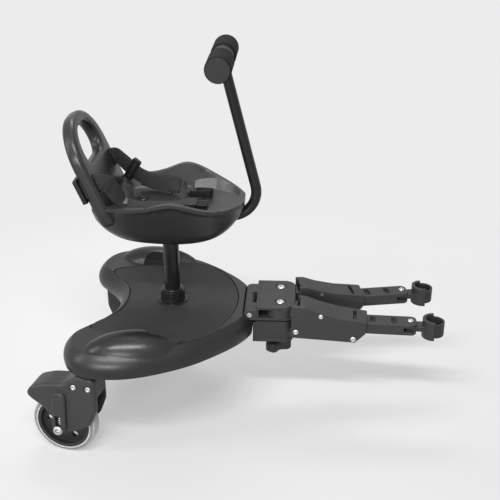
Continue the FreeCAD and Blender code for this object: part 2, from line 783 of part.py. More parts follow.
# Towing arms. Side profiles are shares of the housing's length from its swing bolt and of its height.
ARM_SHARES = [
    (0.0, 0.07, 0.0), (0.868, 0.0, 0.03), (0.98, 0.26, 0.03), (1.0, 0.61, 0.03), (0.67, 0.71, 0.3),
    (0.44, 0.84, 0.3), (0.296, 0.965, 0.3), (0.0, 1.0, 0.0),
]
LEVER_SHARES = [(0.229, 0.9, 0.0), (0.229, 0.975, 0.02)] + ARM_SHARES[6:3:-1]


def arm_point(shares):
    x, z, radius = shares
    return x * s.arm_end, s.arm_bottom + z * s.arm_height, radius * s.arm_height


def shifted(side, expression):
    """Expression with the sign of its side."""
    return f"({expression})" if side > 0 else f"(-({expression}))"


def towing_arm(name, side, turn, outer_reach):
    """One arm with its latch, bar and connector, along X from the swing bolt, then swung to its place."""
    home = placed(s.arm_bolt_reach, side * s.arm_bolt_offset, 0.0, turn)
    middle = side * s.arm_outset
    outer = middle + side * s.arm_half_width
    arm = Moulding("arm_housing_" + name)
    flank = arm.sketch("XZ_Plane", "-1 * " + shifted(side, "arm_outset"))
    rounded(flank, [arm_point(shares) for shares in ARM_SHARES])
    arm.soften(arm.pad(flank, "2 * arm_half_width", symmetric=True), "arm_round")
    relief = arm.sketch("XY_Plane", "arm_bottom - overrun")
    circle(relief, 0, 0, s.arm_relief)
    arm.pocket(relief, "arm_height + 2 * overrun", flip=True)
    inner_start = arm.sketch("XY_Plane", "arm_bottom - overrun")
    inner_edges = sorted((0.0, -2 * side * s.arm_half_width))
    rectangle(inner_start, -s.arm_relief, s.arm_inner_start, *inner_edges)
    arm.pocket(inner_start, "arm_height + 2 * overrun", flip=True)
    outer_start = arm.sketch("XY_Plane", "arm_bottom - overrun")
    outer_edges = sorted((0.0, 2 * side * s.arm_half_width))
    rectangle(outer_start, -s.arm_relief, outer_reach, *outer_edges)
    arm.pocket(outer_start, "arm_height + 2 * overrun", flip=True)
    tongue = arm.sketch("XY_Plane", "block_bottom + block_floor + slip_gap")
    circle(tongue, 0, 0, s.tongue_diameter)
    arm.pad(tongue, "block_height - block_floor - block_roof - 2 * slip_gap")
    root = arm.sketch("XY_Plane", "block_bottom + block_floor + slip_gap")
    rectangle(root, 0, s.arm_relief / 2 + s.arm_skirt, -s.bar_width / 2, s.bar_width / 2)
    arm.pad(root, "block_height - block_floor - block_roof - 2 * slip_gap")
    pivot = arm.sketch("XY_Plane", "block_bottom")
    circle(pivot, 0, 0, s.bolt_diameter + 2 * s.running_gap)
    arm.pocket(pivot, "block_height", flip=True)
    bar_room = s.bar_width / 2 + s.slip_gap
    channel = arm.sketch("XY_Plane", "bar_top - bar_height - slip_gap")
    rectangle(channel, s.arm_relief / 2 + s.arm_skirt, s.arm_end + s.overrun, middle - bar_room,
              middle + bar_room)
    arm.pocket(channel, "bar_height + 2 * slip_gap", flip=True)
    lever_room = s.lever_width / 2 + s.slip_gap
    lever_start = LEVER_SHARES[0][0] * s.arm_end - s.lever_swing_gap
    hook_middle = s.bar_start + 1.5 * s.bar_slot_pitch - s.lever_hook_lead
    bay_end = hook_middle + s.bar_slot_length
    bay = arm.sketch("XY_Plane", "lever_bay_floor")
    rectangle(bay, lever_start, bay_end, middle - lever_room, middle + lever_room)
    arm.pocket(bay, "arm_height", flip=True)
    hook_window = arm.sketch("XY_Plane", "bar_top - overrun / 2")
    rectangle(hook_window, s.lever_pivot, bay_end, middle - lever_room, middle + lever_room)
    arm.pocket(hook_window, "arm_height", flip=True)
    pin_bore = arm.sketch("XZ_Plane")
    circle(pin_bore, s.lever_pivot, s.lever_pivot_height, s.lever_pin_diameter)
    arm.pocket(pin_bore, "4 * arm_half_width", symmetric=True)
    screw_holes = arm.sketch("XZ_Plane", "-1 * " + shifted(side, "arm_outset + arm_half_width"))
    screw_places = [arm_point(share)[:2] for share in ((0.191, 0.24, 0.0), (0.846, 0.11, 0.0))]
    for x, z in screw_places:
        circle(screw_holes, x, z, s.small_screw)
    arm.pocket(screw_holes, "2 * small_screw_length", symmetric=True)
    keep(arm.body, "arm_housing_" + name, home)

    screws = []
    inwards = ACROSS * -side
    for x, z in screw_places:
        face = V(x, outer, z)
        shank = rod("small_screw", "small_screw_length", face, inwards)
        head = rod("small_screw_head", "small_screw_head_height", face, ACROSS * side)
        screws.append(joined(shank, head))
    keep(grouped(*screws), "arm_screws_" + name, home)

    lever = Moulding("latch_lever_" + name)
    lever_flank = lever.sketch("XZ_Plane", "-1 * " + shifted(side, "arm_outset"))
    hook_front = hook_middle + s.lever_hook_length / 2
    hook_back = hook_middle - s.lever_hook_length / 2
    hook_tip = s.bar_top + s.slip_gap
    lever_low = s.lever_bay_floor + s.slip_gap
    top_slope = arm_point((0.822, 0.655, 0.0))
    rounded(lever_flank, [arm_point(shares) for shares in LEVER_SHARES] + [
        (hook_front, top_slope[1], 0), (hook_front, hook_tip, 0), (hook_back, hook_tip, 0),
        (hook_back, lever_low, 0), (s.lever_pivot, lever_low, 0),
        (s.lever_pivot - s.lever_pin_head, s.lever_pivot_height, 0),
    ])
    lever.pad(lever_flank, "lever_width", symmetric=True)
    rib_start = V(*arm_point(LEVER_SHARES[2])[:2], 0)
    slope = (V(*arm_point(LEVER_SHARES[3])[:2], 0) - rib_start).normalize()
    ribs = lever.sketch("XZ_Plane", "-1 * " + shifted(side, "arm_outset"))
    for i in range(LEVER_RIBS):
        foot = rib_start + slope * ((i + 1) * s.lever_rib_pitch)
        crest = V(-slope.y, slope.x, 0) * s.lever_rib
        half_rib = slope * s.lever_rib
        corners = (foot - half_rib - crest, foot + half_rib - crest, foot + crest)
        rounded(ribs, [(corner.x, corner.y, 0) for corner in corners])
    lever.pad(ribs, "lever_width - overrun", symmetric=True)
    hook_trim = lever.sketch("XY_Plane", "bar_top - bar_height")
    trim_half = s.lever_width / 2 + s.overrun
    trim_inner = s.bar_slot_width / 2 - s.lever_hook_play
    for way in SIDES.values():
        edges = sorted((middle + way * trim_inner, middle + way * trim_half))
        rectangle(hook_trim, hook_back - s.overrun, hook_front + s.overrun, *edges)
    lever.pocket(hook_trim, "lever_bay_floor + slip_gap - bar_top + bar_height", flip=True)
    lever_bore = lever.sketch("XZ_Plane")
    circle(lever_bore, s.lever_pivot, s.lever_pivot_height, s.lever_pin_diameter + 2 * s.running_gap)
    lever.pocket(lever_bore, "4 * arm_half_width", symmetric=True)
    keep(lever.body, "latch_lever_" + name, home)

    pin_face = V(s.lever_pivot, outer, s.lever_pivot_height)
    lever_pin = rod("lever_pin_diameter", "2 * arm_half_width", pin_face, inwards)
    lever_pin_head = rod("lever_pin_head", "small_screw_head_height", pin_face, ACROSS * side)
    keep(joined(lever_pin, lever_pin_head), "lever_pin_" + name, home)

    bar = Moulding("extension_bar_" + name)
    bar_plan = bar.sketch("XY_Plane", "bar_top - bar_height")
    bar_end = s.bar_start + s.bar_length
    half = s.bar_width / 2
    rounded(bar_plan, [
        (s.bar_start, middle - half, 0), (bar_end, middle - half, s.bar_end_radius),
        (bar_end, middle + half, s.bar_end_radius), (s.bar_start, middle + half, 0),
    ])
    bar.soften(bar.pad(bar_plan, "bar_height"), "bar_round")
    bar_slots = bar.sketch("XY_Plane", "bar_top")
    for i in range(-SLOTS_BEHIND_HOOK, SLOTS_AHEAD_OF_HOOK + 1):
        slot_middle = hook_middle + i * s.bar_slot_pitch
        rectangle(bar_slots, slot_middle - s.bar_slot_length / 2, slot_middle + s.bar_slot_length / 2,
                  middle - s.bar_slot_width / 2, middle + s.bar_slot_width / 2, s.bar_slot_length / 8)
    bar.pocket(bar_slots, "bar_slot_depth")
    fork = bar.sketch("XY_Plane", "bar_top - (bar_height + bar_fork_gap) / 2")
    rectangle(fork, bar_end - s.bar_fork_length, bar_end + s.overrun, middle - s.bar_width,
              middle + s.bar_width)
    bar.pocket(fork, "bar_fork_gap", flip=True)
    joint_x = bar_end - s.bar_end_radius
    joint_bore = bar.sketch("XY_Plane", "bar_top")
    circle(joint_bore, joint_x, middle, s.connector_pin_diameter)
    bar.pocket(joint_bore, "bar_height")
    keep(bar.body, "extension_bar_" + name, home)

    pin_foot = V(joint_x, middle, s.bar_top - s.bar_height)
    joint_pin = rod("connector_pin_diameter", "bar_height", pin_foot)
    joint_head = rod("connector_pin_head", "small_screw_head_height", pin_foot + UP * s.bar_height)
    keep(joined(joint_pin, joint_head), "connector_pin_" + name, home)

    saddle = Moulding("connector_saddle_" + name)
    link = saddle.sketch("XY_Plane", "bar_top - (bar_height + bar_fork_gap) / 2 + slip_gap")
    circle(link, 0, 0, s.connector_tongue)
    saddle.pad(link, "bar_fork_gap - 2 * slip_gap")
    stalk = saddle.sketch("XY_Plane", "bar_top - (bar_height + bar_fork_gap) / 2 + slip_gap")
    rectangle(stalk, 0, s.connector_reach, -s.connector_tongue / 2, s.connector_tongue / 2)
    saddle.pad(stalk, "bar_fork_gap - 2 * slip_gap")
    ring = saddle.sketch("XY_Plane", "bar_top - (bar_height + saddle_height) / 2")
    circle(ring, s.connector_reach, 0, s.leg_diameter + 2 * s.saddle_wall)
    saddle.pad(ring, "saddle_height")
    leg_bore = saddle.sketch("XY_Plane", "bar_top - (bar_height + saddle_height) / 2")
    circle(leg_bore, s.connector_reach, 0, s.leg_diameter)
    saddle.pocket(leg_bore, "saddle_height", flip=True)
    front_cut = saddle.sketch("XY_Plane", "bar_top - (bar_height + saddle_height) / 2")
    rectangle(front_cut, s.connector_reach, s.connector_reach + s.leg_diameter, -s.leg_diameter,
              s.leg_diameter)
    saddle.pocket(front_cut, "saddle_height", flip=True)
    link_bore = saddle.sketch("XY_Plane", "bar_top")
    circle(link_bore, 0, 0, s.connector_pin_diameter + 2 * s.running_gap)
    saddle.pocket(link_bore, "bar_height")
    joint_home = home * placed(joint_x, middle)
    keep(saddle.body, "connector_saddle_" + name, joint_home)

    strap = Moulding("connector_strap_" + name)
    band = strap.sketch("XY_Plane", "bar_top - (bar_height + connector_strap_width) / 2")
    circle(band, s.connector_reach, 0, s.leg_diameter + 2 * s.connector_strap_thickness)
    circle(band, s.connector_reach, 0, s.leg_diameter)
    strap.pad(band, "connector_strap_width")
    rear_cut = strap.sketch("XY_Plane", "bar_top - bar_height - saddle_height")
    rectangle(rear_cut, 0, s.connector_reach, -s.leg_diameter, s.leg_diameter)
    strap.pocket(rear_cut, "3 * saddle_height", flip=True)
    keep(strap.body, "connector_strap_" + name, joint_home)


towing_arm("near", NEAR, -s.arm_near_turn, s.arm_start)
towing_arm("far", FAR, s.arm_far_turn, s.arm_inner_start)

# Casters. Fork profiles are shares of the fork's length from its nose and of its height.
FORK_SHARES = [
    (1.0, 1.0, 0.1), (1.0, 0.47, 0.3), (0.9, 0.18, 0.25), (0.74, 0.06, 0.2), (0.58, 0.0, 0.1),
    (0.37, 0.0, 0.08), (0.36, 0.22, 0.2), (0.24, 0.38, 0.2), (0.1, 0.48, 0.1), (0.0, 0.58, 0.08),
    (0.09, 0.72, 0.25), (0.3, 0.8, 0.5), (0.53, 0.83, 0.3), (0.75, 1.0, 0.2),
]


def least_gap(points, thickness, turn):
    """Least gap of a wire to itself, between points of its line that are over half a turn apart."""
    nearest = min(
        points[i].distanceToPoint(points[j])
        for i in range(len(points))
        for j in range(i + turn // 2, len(points))
    )
    return nearest - thickness


def spring_coil(foot):
    """Coil spring round the vertical through a foot, as one tube along arcs, and its least gap."""
    radius = (s.spring_diameter - s.spring_wire) / 2
    quarter = math.pi / 2
    steps = SPRING_TURNS * 4
    rise = (s.spring_length - s.spring_wire) / steps
    start_height = foot.z + s.spring_wire / 2

    def point(step):
        angle = step * quarter
        return V(foot.x + radius * math.cos(angle), foot.y + radius * math.sin(angle),
                 start_height + step * rise)

    def heading(step):
        angle = step * quarter
        return V(-radius * quarter * math.sin(angle), radius * quarter * math.cos(angle), rise).normalize()

    edges = []
    for step in range(steps):
        first, last = point(step), point(step + 1)
        first_way, last_way = heading(step), heading(step + 1)
        chord = last - first
        ways = first_way + last_way
        spread = 2 * (1 - first_way.dot(last_way))
        along = chord.dot(ways)
        reach = (-along + math.sqrt(along ** 2 + spread * chord.dot(chord))) / spread
        first_knee = first + first_way * reach
        last_knee = last - last_way * reach
        meeting = (first_knee + last_knee) / 2
        for start, knee, end in ((first, first_knee, meeting), (meeting, last_knee, last)):
            chord_middle = (start + end) / 2
            half_chord = (end - start).Length / 2
            height = (knee - chord_middle).Length
            slope = math.atan2(height, half_chord)
            sagitta = half_chord * math.tan(slope / 2)
            crest = chord_middle + (knee - chord_middle).normalize() * sagitta
            edges.append(Part.Arc(start, crest, end).toShape())
    route = Part.Wire(edges)
    start_way = heading(0)
    outwards = ALONG * (s.spring_wire / 2)
    turns = [FreeCAD.Rotation(start_way, 360 * i / SPRING_SIDES) for i in range(SPRING_SIDES + 1)]
    section = Part.makePolygon([point(0) + turned.multVec(outwards) for turned in turns])
    points_a_turn = 32
    points = route.discretize(Number=points_a_turn * SPRING_TURNS + 1)
    gap = least_gap(points, s.spring_wire, points_a_turn)
    if gap < s.spring_least_gap:
        raise ValueError("the spring's turns lie too close")
    return route.makePipeShell([section], True, False), gap


def caster(name, side, turn):
    """One caster about its swivel axis with the wheel trailing along -X, then turned to its place."""
    home = placed(-s.caster_setback, side * s.caster_offset, 0.0, turn)
    wheel_radius = s.wheel_diameter / 2
    axle = V(-s.caster_trail, 0, wheel_radius)
    fork_height = s.fork_top - s.fork_bottom

    def fork_point(shares):
        x, z, radius = shares
        return (s.fork_front - s.fork_length + x * s.fork_length, s.fork_bottom + z * fork_height,
                radius * fork_height)

    screw_xs = [-s.fork_screw_setback, s.fork_screw_pitch - s.fork_screw_setback]
    for part_name, way in (("fork_outer_", side), ("fork_inner_", -side)):
        fork = Moulding(part_name + name)
        flip = way > 0
        flank = fork.sketch("XZ_Plane")
        rounded(flank, [fork_point(shares) for shares in FORK_SHARES])
        shell = fork.pad(flank, "fork_half_width", flip=flip)
        fork.soften_face(shell, way * s.fork_half_width, "fork_round")
        leg = fork.sketch("XZ_Plane")
        leg_half = s.leg_width / 2
        end_round = leg_half * s.leg_round_share
        rounded(leg, [
            (axle.x - leg_half, s.fork_bottom, end_round),
            (axle.x + leg_half, s.fork_bottom, end_round),
            (axle.x + leg_half + s.leg_lean, s.leg_top, end_round),
            (axle.x - leg_half + s.leg_lean, s.leg_top, end_round),
        ])
        leg_pad = fork.pad(leg, "fork_half_width + leg_rise", flip=flip)
        fork.soften_face(leg_pad, way * (s.fork_half_width + s.leg_rise), "leg_round")
        arch = fork.sketch("XZ_Plane")
        arch_radius = wheel_radius + s.suspension_travel + s.fork_wheel_gap
        circle(arch, axle.x, axle.z, 2 * arch_radius)
        fork.pocket(arch, "fork_slot / 2", flip=not flip)
        front_gap = fork.sketch("XZ_Plane")
        rectangle(front_gap, axle.x, s.fork_front + s.overrun, s.fork_bottom - s.overrun, s.fork_slot_rise)
        fork.pocket(front_gap, "fork_slot / 2", flip=not flip)
        guide = fork.sketch("XZ_Plane")
        guide_half = s.spring_diameter / 2 + s.spring_play
        guide_low = axle.z - s.axle_diameter / 2 - s.running_gap
        guide_high = axle.z + s.axle_diameter / 2 + s.spring_length + 2 * s.spring_play
        rectangle(guide, axle.x - guide_half, axle.x + guide_half, guide_low, guide_high)
        fork.pocket(guide, "fork_half_width + leg_rise + overrun", flip=not flip)
        stem_hole = fork.sketch("XY_Plane", "fork_bottom")
        circle(stem_hole, 0, 0, s.stem_diameter)
        fork.pocket(stem_hole, "fork_top", flip=True)
        screw_holes = fork.sketch("XZ_Plane")
        for x in screw_xs:
            circle(screw_holes, x, s.fork_screw_height, s.small_screw)
        fork.pocket(screw_holes, "fork_half_width + leg_rise + overrun", flip=not flip)
        level = shifted(-way, "fork_half_width - fork_screw_recess_depth")
        recesses = fork.sketch("XZ_Plane", level)
        for x in screw_xs:
            circle(recesses, x, s.fork_screw_height, s.fork_screw_recess)
        fork.pocket(recesses, "leg_rise", flip=not flip)
        keep(fork.body, part_name + name, home)

    outer = ACROSS * side
    screw_reach = outer * (s.fork_half_width - s.fork_screw_recess_depth)
    screws = []
    for x in screw_xs:
        foot = V(x, 0, s.fork_screw_height)
        shank_length = "2 * (fork_half_width - fork_screw_recess_depth)"
        shank = rod("small_screw", shank_length, foot - screw_reach, outer)
        head = rod("small_screw_head", "small_screw_head_height", foot + screw_reach, outer)
        screws.append(joined(shank, head))
    keep(grouped(*screws), "fork_screws_" + name, home)

    arch_top = s.fork_slot_rise + s.fork_wheel_gap
    stem = rod("stem_diameter", f"stem_top - {arch_top}", UP * arch_top)
    washer = rod("stem_washer", "deck_bottom - fork_top - slip_gap", UP * s.fork_top)
    keep(joined(stem, washer), "caster_stem_" + name, home)

    leg_face = s.fork_half_width + s.leg_rise + s.slip_gap
    shank_length = "2 * (fork_half_width + leg_rise + slip_gap)"
    shank = rod("axle_diameter", shank_length, axle - outer * leg_face, outer)
    head = rod("axle_head", "axle_head_height", axle + outer * leg_face, outer)
    nut = rod("axle_head", "axle_head_height", axle - outer * leg_face, -outer)
    keep(joined(shank, head, nut), "axle_bolt_" + name, home)

    coils = []
    coil_offset = (s.fork_slot / 2 + s.fork_half_width + s.leg_rise) / 2
    for way in SIDES.values():
        foot = axle + V(0, way * coil_offset, s.axle_diameter / 2 + s.spring_play)
        coil, gap = spring_coil(foot)
        coils.append(coil)
    print("fork_springs_" + name, "least gap between turns", round(gap, 2))
    springs = doc.addObject("Part::Feature", "Springs")
    springs.Shape = Part.makeCompound(coils)
    keep(springs, "fork_springs_" + name, home)

    tread = Moulding("wheel_tyre_" + name)
    tyre_half = tread.sketch("XY_Plane")
    inner_radius = wheel_radius - s.tyre_thickness
    half_width = s.wheel_width / 2
    rounded(tyre_half, [
        (inner_radius, -half_width, 0), (wheel_radius, -half_width, s.tyre_crown),
        (wheel_radius, half_width, s.tyre_crown), (inner_radius, half_width, 0),
    ])
    tread.revolve(tyre_half, "Y_Axis")
    wheel_home = home * FreeCAD.Placement(axle, FreeCAD.Rotation())
    keep(tread.body, "wheel_tyre_" + name, wheel_home)

    hub = Moulding("wheel_hub_" + name)
    hub_half = hub.sketch("XY_Plane")
    web = s.hub_web / 2
    rim_foot = inner_radius - s.hub_rim
    boss = s.hub_boss / 2
    hub_end = s.hub_length / 2
    core = s.axle_diameter / 2 + s.hub_rim
    bearing_radius = s.bearing_diameter / 2
    shelf = hub_end - s.bearing_width
    rounded(hub_half, [
        (core, -shelf, 0), (bearing_radius, -shelf, 0), (bearing_radius, -hub_end, 0), (boss, -hub_end, 0),
        (boss, -web, 0), (rim_foot, -web, 0), (rim_foot, -half_width, 0), (inner_radius, -half_width, 0),
        (inner_radius, half_width, 0), (rim_foot, half_width, 0), (rim_foot, web, 0), (boss, web, 0),
        (boss, hub_end, 0), (bearing_radius, hub_end, 0), (bearing_radius, shelf, 0), (core, shelf, 0),
    ])
    hub.revolve(hub_half, "Y_Axis")
    window = hub.sketch("XZ_Plane")
    circle(window, (boss + rim_foot) / 2, 0, s.hub_window)
    windows = hub.pocket(window, "2 * hub_web", symmetric=True)
    hub.repeat([windows], "Y_Axis", HUB_WINDOWS)
    keep(hub.body, "wheel_hub_" + name, wheel_home)

    bearings = []
    for way in SIDES.values():
        foot = ACROSS * (way * shelf)
        race = rod("bearing_diameter", "bearing_width", foot, ACROSS * way)
        race_bore = rod("axle_diameter + 2 * running_gap", "bearing_width", foot, ACROSS * way)
        bearings.append(cut(race, race_bore))
    keep(grouped(*bearings), "wheel_bearings_" + name, wheel_home)


caster("near", NEAR, -s.caster_near_turn)
caster("far", FAR, s.caster_far_turn)

bushes = []
for side in SIDES.values():
    foot = V(-s.caster_setback, side * s.caster_offset, s.deck_bottom)
    bush = rod("stem_diameter + 2 * bush_wall", "bush_top - deck_bottom", foot)
    bushes.append(cut(bush, rod("stem_diameter + 2 * running_gap", "bush_top - deck_bottom", foot)))
keep(grouped(*bushes), "caster_bushes")

# Seat bowl: sections from the rear to the front, as shares of the seat's length, half width and depth.
# Each is (place along, rim half width, rim height, bottom height).
BOWL_SHARES = [
    (0.0, 0.72, 0.8, 0.44), (0.09, 0.79, 0.815, 0.19), (0.21, 0.85, 0.84, 0.05), (0.37, 0.9, 0.88, 0.0),
    (0.545, 1.0, 1.0, 0.01), (0.72, 0.94, 0.88, 0.08), (0.855, 0.72, 0.78, 0.2), (0.945, 0.46, 0.745, 0.4),
    (1.0, 0.2, 0.74, 0.6),
]
# The dish, from its rear end to its front end, in the same shares
DISH_SHARES = [(0.1, 0.76, 0.8, 0.0)] + BOWL_SHARES[2:-1] + [(0.96, 0.36, 0.74, 0.0)]
# Backrest loop and its hand hole, as (half width, height, corner radius) shares
BACK_SHARES = [(0.93, -0.14, 0.0), (1.0, 0.03, 0.1), (0.927, 1.0, 0.47)]
HOLE_SHARES = [(0.62, 0.5, 0.13), (0.52, 0.87, 0.24)]
seat = Moulding("seat_shell")
back_home = FreeCAD.Placement(V(-s.back_setback, 0, s.seat_floor), FreeCAD.Rotation(ACROSS, -s.back_lean))


def back_sketch():
    """Sketch on the backrest's leaning middle plane: across the seat, and up from the backrest's foot."""
    drawing = seat.body.newObject("Sketcher::SketchObject", "Back")
    drawing.AttachmentSupport = (seat.origin("YZ_Plane"), [""])
    drawing.MapMode = "FlatFace"
    tilt = FreeCAD.Rotation(ALONG, -s.back_lean)
    drawing.AttachmentOffset = FreeCAD.Placement(V(0, s.seat_floor, -s.back_setback), tilt)
    return drawing


def back_point(across, up, forward):
    """Place measured on the backrest's leaning plane."""
    return back_home.multVec(V(forward, across, up))


def bowl_sections(shares, step, rise, floor, corner_share, lip):
    """U-shaped sections under a rim lip, each on its own plane across the seat."""
    drawings = []
    for place, width, rim, bottom in shares:
        drawing = seat.sketch("YZ_Plane", f"{place} * (seat_rear + seat_front) - seat_rear")
        half = width * s.seat_half_width - step
        high = s.seat_bottom + rim * s.seat_depth
        low = max(s.seat_bottom + bottom * s.seat_depth, floor)
        radius = corner_share * (high - low)
        foot = s.seat_foot_share * half
        belly = [(foot, low, radius)]
        if lip:
            belly += [(half - lip, high - s.seat_lip, 0), (half, high - s.seat_lip + lip, 0)]
        belly.append((half, high, 0))
        if rise:
            belly.append((half, high + rise, 0))
        rounded(drawing, [(-y, z, r) for y, z, r in reversed(belly)] + belly)
        drawings.append(drawing)
    return drawings


back = back_sketch()
for shares in (BACK_SHARES, HOLE_SHARES):
    half = [(x * s.back_half_width, y * s.back_height, r * s.back_height) for x, y, r in shares]
    rounded(back, half + [(-x, y, r) for x, y, r in reversed(half)])
seat.soften(seat.pad(back, "back_thickness", symmetric=True), "back_round")
seat.loft("AdditiveLoft", bowl_sections(BOWL_SHARES, 0.0, 0.0, s.seat_bottom, 0.55, s.seat_lip_step))
seat.loft("SubtractiveLoft", bowl_sections(DISH_SHARES, s.seat_lip, s.seat_depth, s.seat_floor, 0.6, 0.0))
well = seat.sketch("XY_Plane", "seat_bottom - overrun")
rectangle(well, -s.seat_well_length / 2, s.seat_well_length / 2, -s.seat_well_width / 2,
          s.seat_well_width / 2, s.seat_well_radius)
seat.pocket(well, "seat_floor - seat_floor_thickness - seat_bottom + overrun", flip=True)
channel = seat.sketch("XY_Plane", "seat_bottom - overrun")
channel_half = s.tube_diameter / 2 + s.slip_gap
rectangle(channel, 0, s.seat_front + s.overrun, -channel_half, channel_half)
seat.pocket(channel, "tube_level + tube_diameter / 2 + slip_gap - seat_bottom + overrun", flip=True)
front_notch = seat.sketch("XY_Plane", "seat_bottom - overrun")
rectangle(front_notch, s.tube_run, s.seat_front + s.overrun, -channel_half, channel_half)
seat.pocket(front_notch, "front_notch_top - seat_bottom + overrun", flip=True)
belt_slots = back_sketch()
for side in SIDES.values():
    slot_middle = side * s.belt_slot_offset
    rectangle(belt_slots, slot_middle - s.belt_slot_width / 2, slot_middle + s.belt_slot_width / 2,
              s.belt_slot_rise - s.belt_slot_height / 2, s.belt_slot_rise + s.belt_slot_height / 2,
              s.belt_slot_width / 3)
seat.pocket(belt_slots, "back_thickness + 2 * overrun", symmetric=True)
screw_xs = [s.seat_screw_shift - s.seat_screw_pitch / 2, s.seat_screw_shift + s.seat_screw_pitch / 2]
screw_bores = seat.sketch("XY_Plane", "seat_bottom")
screw_seats = seat.sketch("XY_Plane", "seat_floor - seat_screw_recess_depth")
for x in screw_xs:
    circle(screw_bores, x, 0, s.small_screw)
    circle(screw_seats, x, 0, s.seat_screw_recess)
seat.pocket(screw_bores, "seat_depth", flip=True)
seat.pocket(screw_seats, "seat_depth", flip=True)
keep(seat.body, "seat_shell")

# Steelwork that carries the seat
plate_top = s.seat_floor - s.seat_floor_thickness
plate_foot = plate_top - s.plate_thickness
plate = slab("plate_length", "plate_width", "plate_thickness", V(s.seat_screw_shift, 0, plate_foot))
plate_holes = [rod("small_screw", "plate_thickness", V(x, 0, plate_foot)) for x in screw_xs]
keep(cut(plate, *plate_holes), "seat_plate")
post_length = "seat_floor - seat_floor_thickness - plate_thickness - post_foot"
post_tube = rod("post_diameter", post_length, UP * s.post_foot)
post_bore = rod("post_diameter - 2 * post_wall", post_length, UP * s.post_foot)
keep(cut(post_tube, post_bore), "seat_post")
seat_screws = []
for x in screw_xs:
    screw_seat = V(x, 0, s.seat_floor - s.seat_screw_recess_depth)
    shank_length = "seat_floor_thickness - seat_screw_recess_depth + plate_thickness"
    shank = rod("small_screw", shank_length, screw_seat, DOWN)
    head = rod("small_screw_head", "small_screw_head_height", screw_seat)
    seat_screws.append(joined(shank, head))
keep(grouped(*seat_screws), "seat_screws")

# Handle: a tube from the post under the seat, bent up to a cross grip
lean = math.radians(s.tube_lean)
bend_middle = V(s.tube_run, 0, s.tube_level + s.tube_bend)
bend_start = V(s.tube_run, 0, s.tube_level)
bend_end = bend_middle + V(math.cos(lean), 0, math.sin(lean)) * s.tube_bend
half_turn = lean / 2 - math.pi / 4
bend_crest = bend_middle + V(math.cos(half_turn), 0, math.sin(half_turn)) * s.tube_bend
grip_middle = bend_end + V(-math.sin(lean), 0, math.cos(lean)) * s.tube_rise
handle = Moulding("Handle pipe")
spine = handle.sketch("XZ_Plane")
tube_start = V(0, 0, s.tube_level)
tube_stops = (tube_start, bend_start, bend_crest, bend_end, grip_middle)
flat = [V(point.x, point.z, 0) for point in tube_stops]
spine.addGeometry(Part.LineSegment(flat[0], flat[1]))
spine.addGeometry(Part.Arc(flat[1], flat[2], flat[3]))
spine.addGeometry(Part.LineSegment(flat[3], flat[4]))
tube_section = handle.sketch("YZ_Plane")
circle(tube_section, 0, s.tube_level, s.tube_diameter)
circle(tube_section, 0, s.tube_level, s.tube_diameter - 2 * s.tube_wall)
tube_pipe = handle.body.newObject("PartDesign::AdditivePipe", "Pipe")
tube_pipe.Profile = tube_section
tube_pipe.Spine = (spine, ["Edge1", "Edge2", "Edge3"])
fitting_start = grip_middle - ACROSS * (s.grip_fitting_length / 2)
saddle_of_post = rod("post_diameter", post_length, UP * s.post_foot)
saddle_of_grip = rod("grip_fitting", "grip_fitting_length", fitting_start, ACROSS)
keep(cut(handle.body, saddle_of_post, saddle_of_grip), "handle_tube")

grip_start = grip_middle - ACROSS * (s.grip_length / 2)
core_inset = ACROSS * s.grip_cap_thickness
core = rod("grip_tube", "grip_length - 2 * grip_cap_thickness", grip_start + core_inset, ACROSS)
fitting = rod("grip_fitting", "grip_fitting_length", fitting_start, ACROSS)
core_bore = rod("grip_tube - 2 * tube_wall", "grip_length", grip_start, ACROSS)
keep(cut(joined(core, fitting), core_bore), "grip_core")
foams = []
caps = []
for side in SIDES.values():
    outwards = ACROSS * side
    foam_start = grip_middle + outwards * (s.grip_fitting_length / 2 + s.slip_gap)
    foam_length = "(grip_length - grip_fitting_length) / 2 - grip_cap_thickness - 2 * slip_gap"
    foam = rod("grip_diameter", foam_length, foam_start, outwards)
    foams.append(cut(foam, rod("grip_tube + 2 * slip_gap", foam_length, foam_start, outwards)))
    cap_face = grip_middle + outwards * (s.grip_length / 2)
    cap = rod("grip_cap", "grip_cap_thickness", cap_face, -outwards)
    plug = rod("grip_tube - 2 * tube_wall", "grip_cap_thickness + grip_cap_plug", cap_face, -outwards)
    caps.append(joined(cap, plug))
keep(grouped(*foams), "foam_grips")
keep(grouped(*caps), "grip_caps")

# Waist belt: webbing through the backrest slots. Each stop of a route is (share of the seat's length from
# its rear, share of its half width, share of its depth above the dish, and the shares of forwards, outwards
# and up in the way that the webbing's width points).
FAR_BELT_SHARES = [
    (0.125, 0.6, 0.45, 0.0, 0.0, 1.0), (0.185, 0.55, 0.33, 0.0, 0.0, 1.0),
    (0.26, 0.48, 0.225, 0.0, 0.0, 1.0), (0.36, 0.41, 0.17, 0.0, 0.0, 1.0),
    (0.46, 0.34, 0.165, 0.0, 0.15, 0.85), (0.54, 0.29, 0.12, 0.0, 0.6, 0.4),
    (0.585, 0.27, 0.065, 0.0, 1.0, 0.0), (0.61, 0.27, 0.065, 0.0, 1.0, 0.0),
]
NEAR_BELT_SHARES = [
    (0.105, 0.605, 0.5, 0.3, -0.2, 0.9), (0.13, 0.555, 0.4, 0.6, -0.5, 0.6),
    (0.165, 0.5, 0.24, 0.6, -0.75, 0.2), (0.205, 0.42, 0.11, 0.35, -0.93, 0.0),
    (0.265, 0.33, 0.04, 0.1, -1.0, 0.0), (0.34, 0.31, 0.025, 0.0, -1.0, 0.0),
    (0.46, 0.3, 0.025, 0.0, -1.0, 0.0), (0.575, 0.29, 0.045, 0.0, -1.0, 0.0),
    (0.6, 0.29, 0.045, 0.0, -1.0, 0.0),
]
seat_length = s.seat_rear + s.seat_front
back_up = back_home.Rotation.multVec(UP)


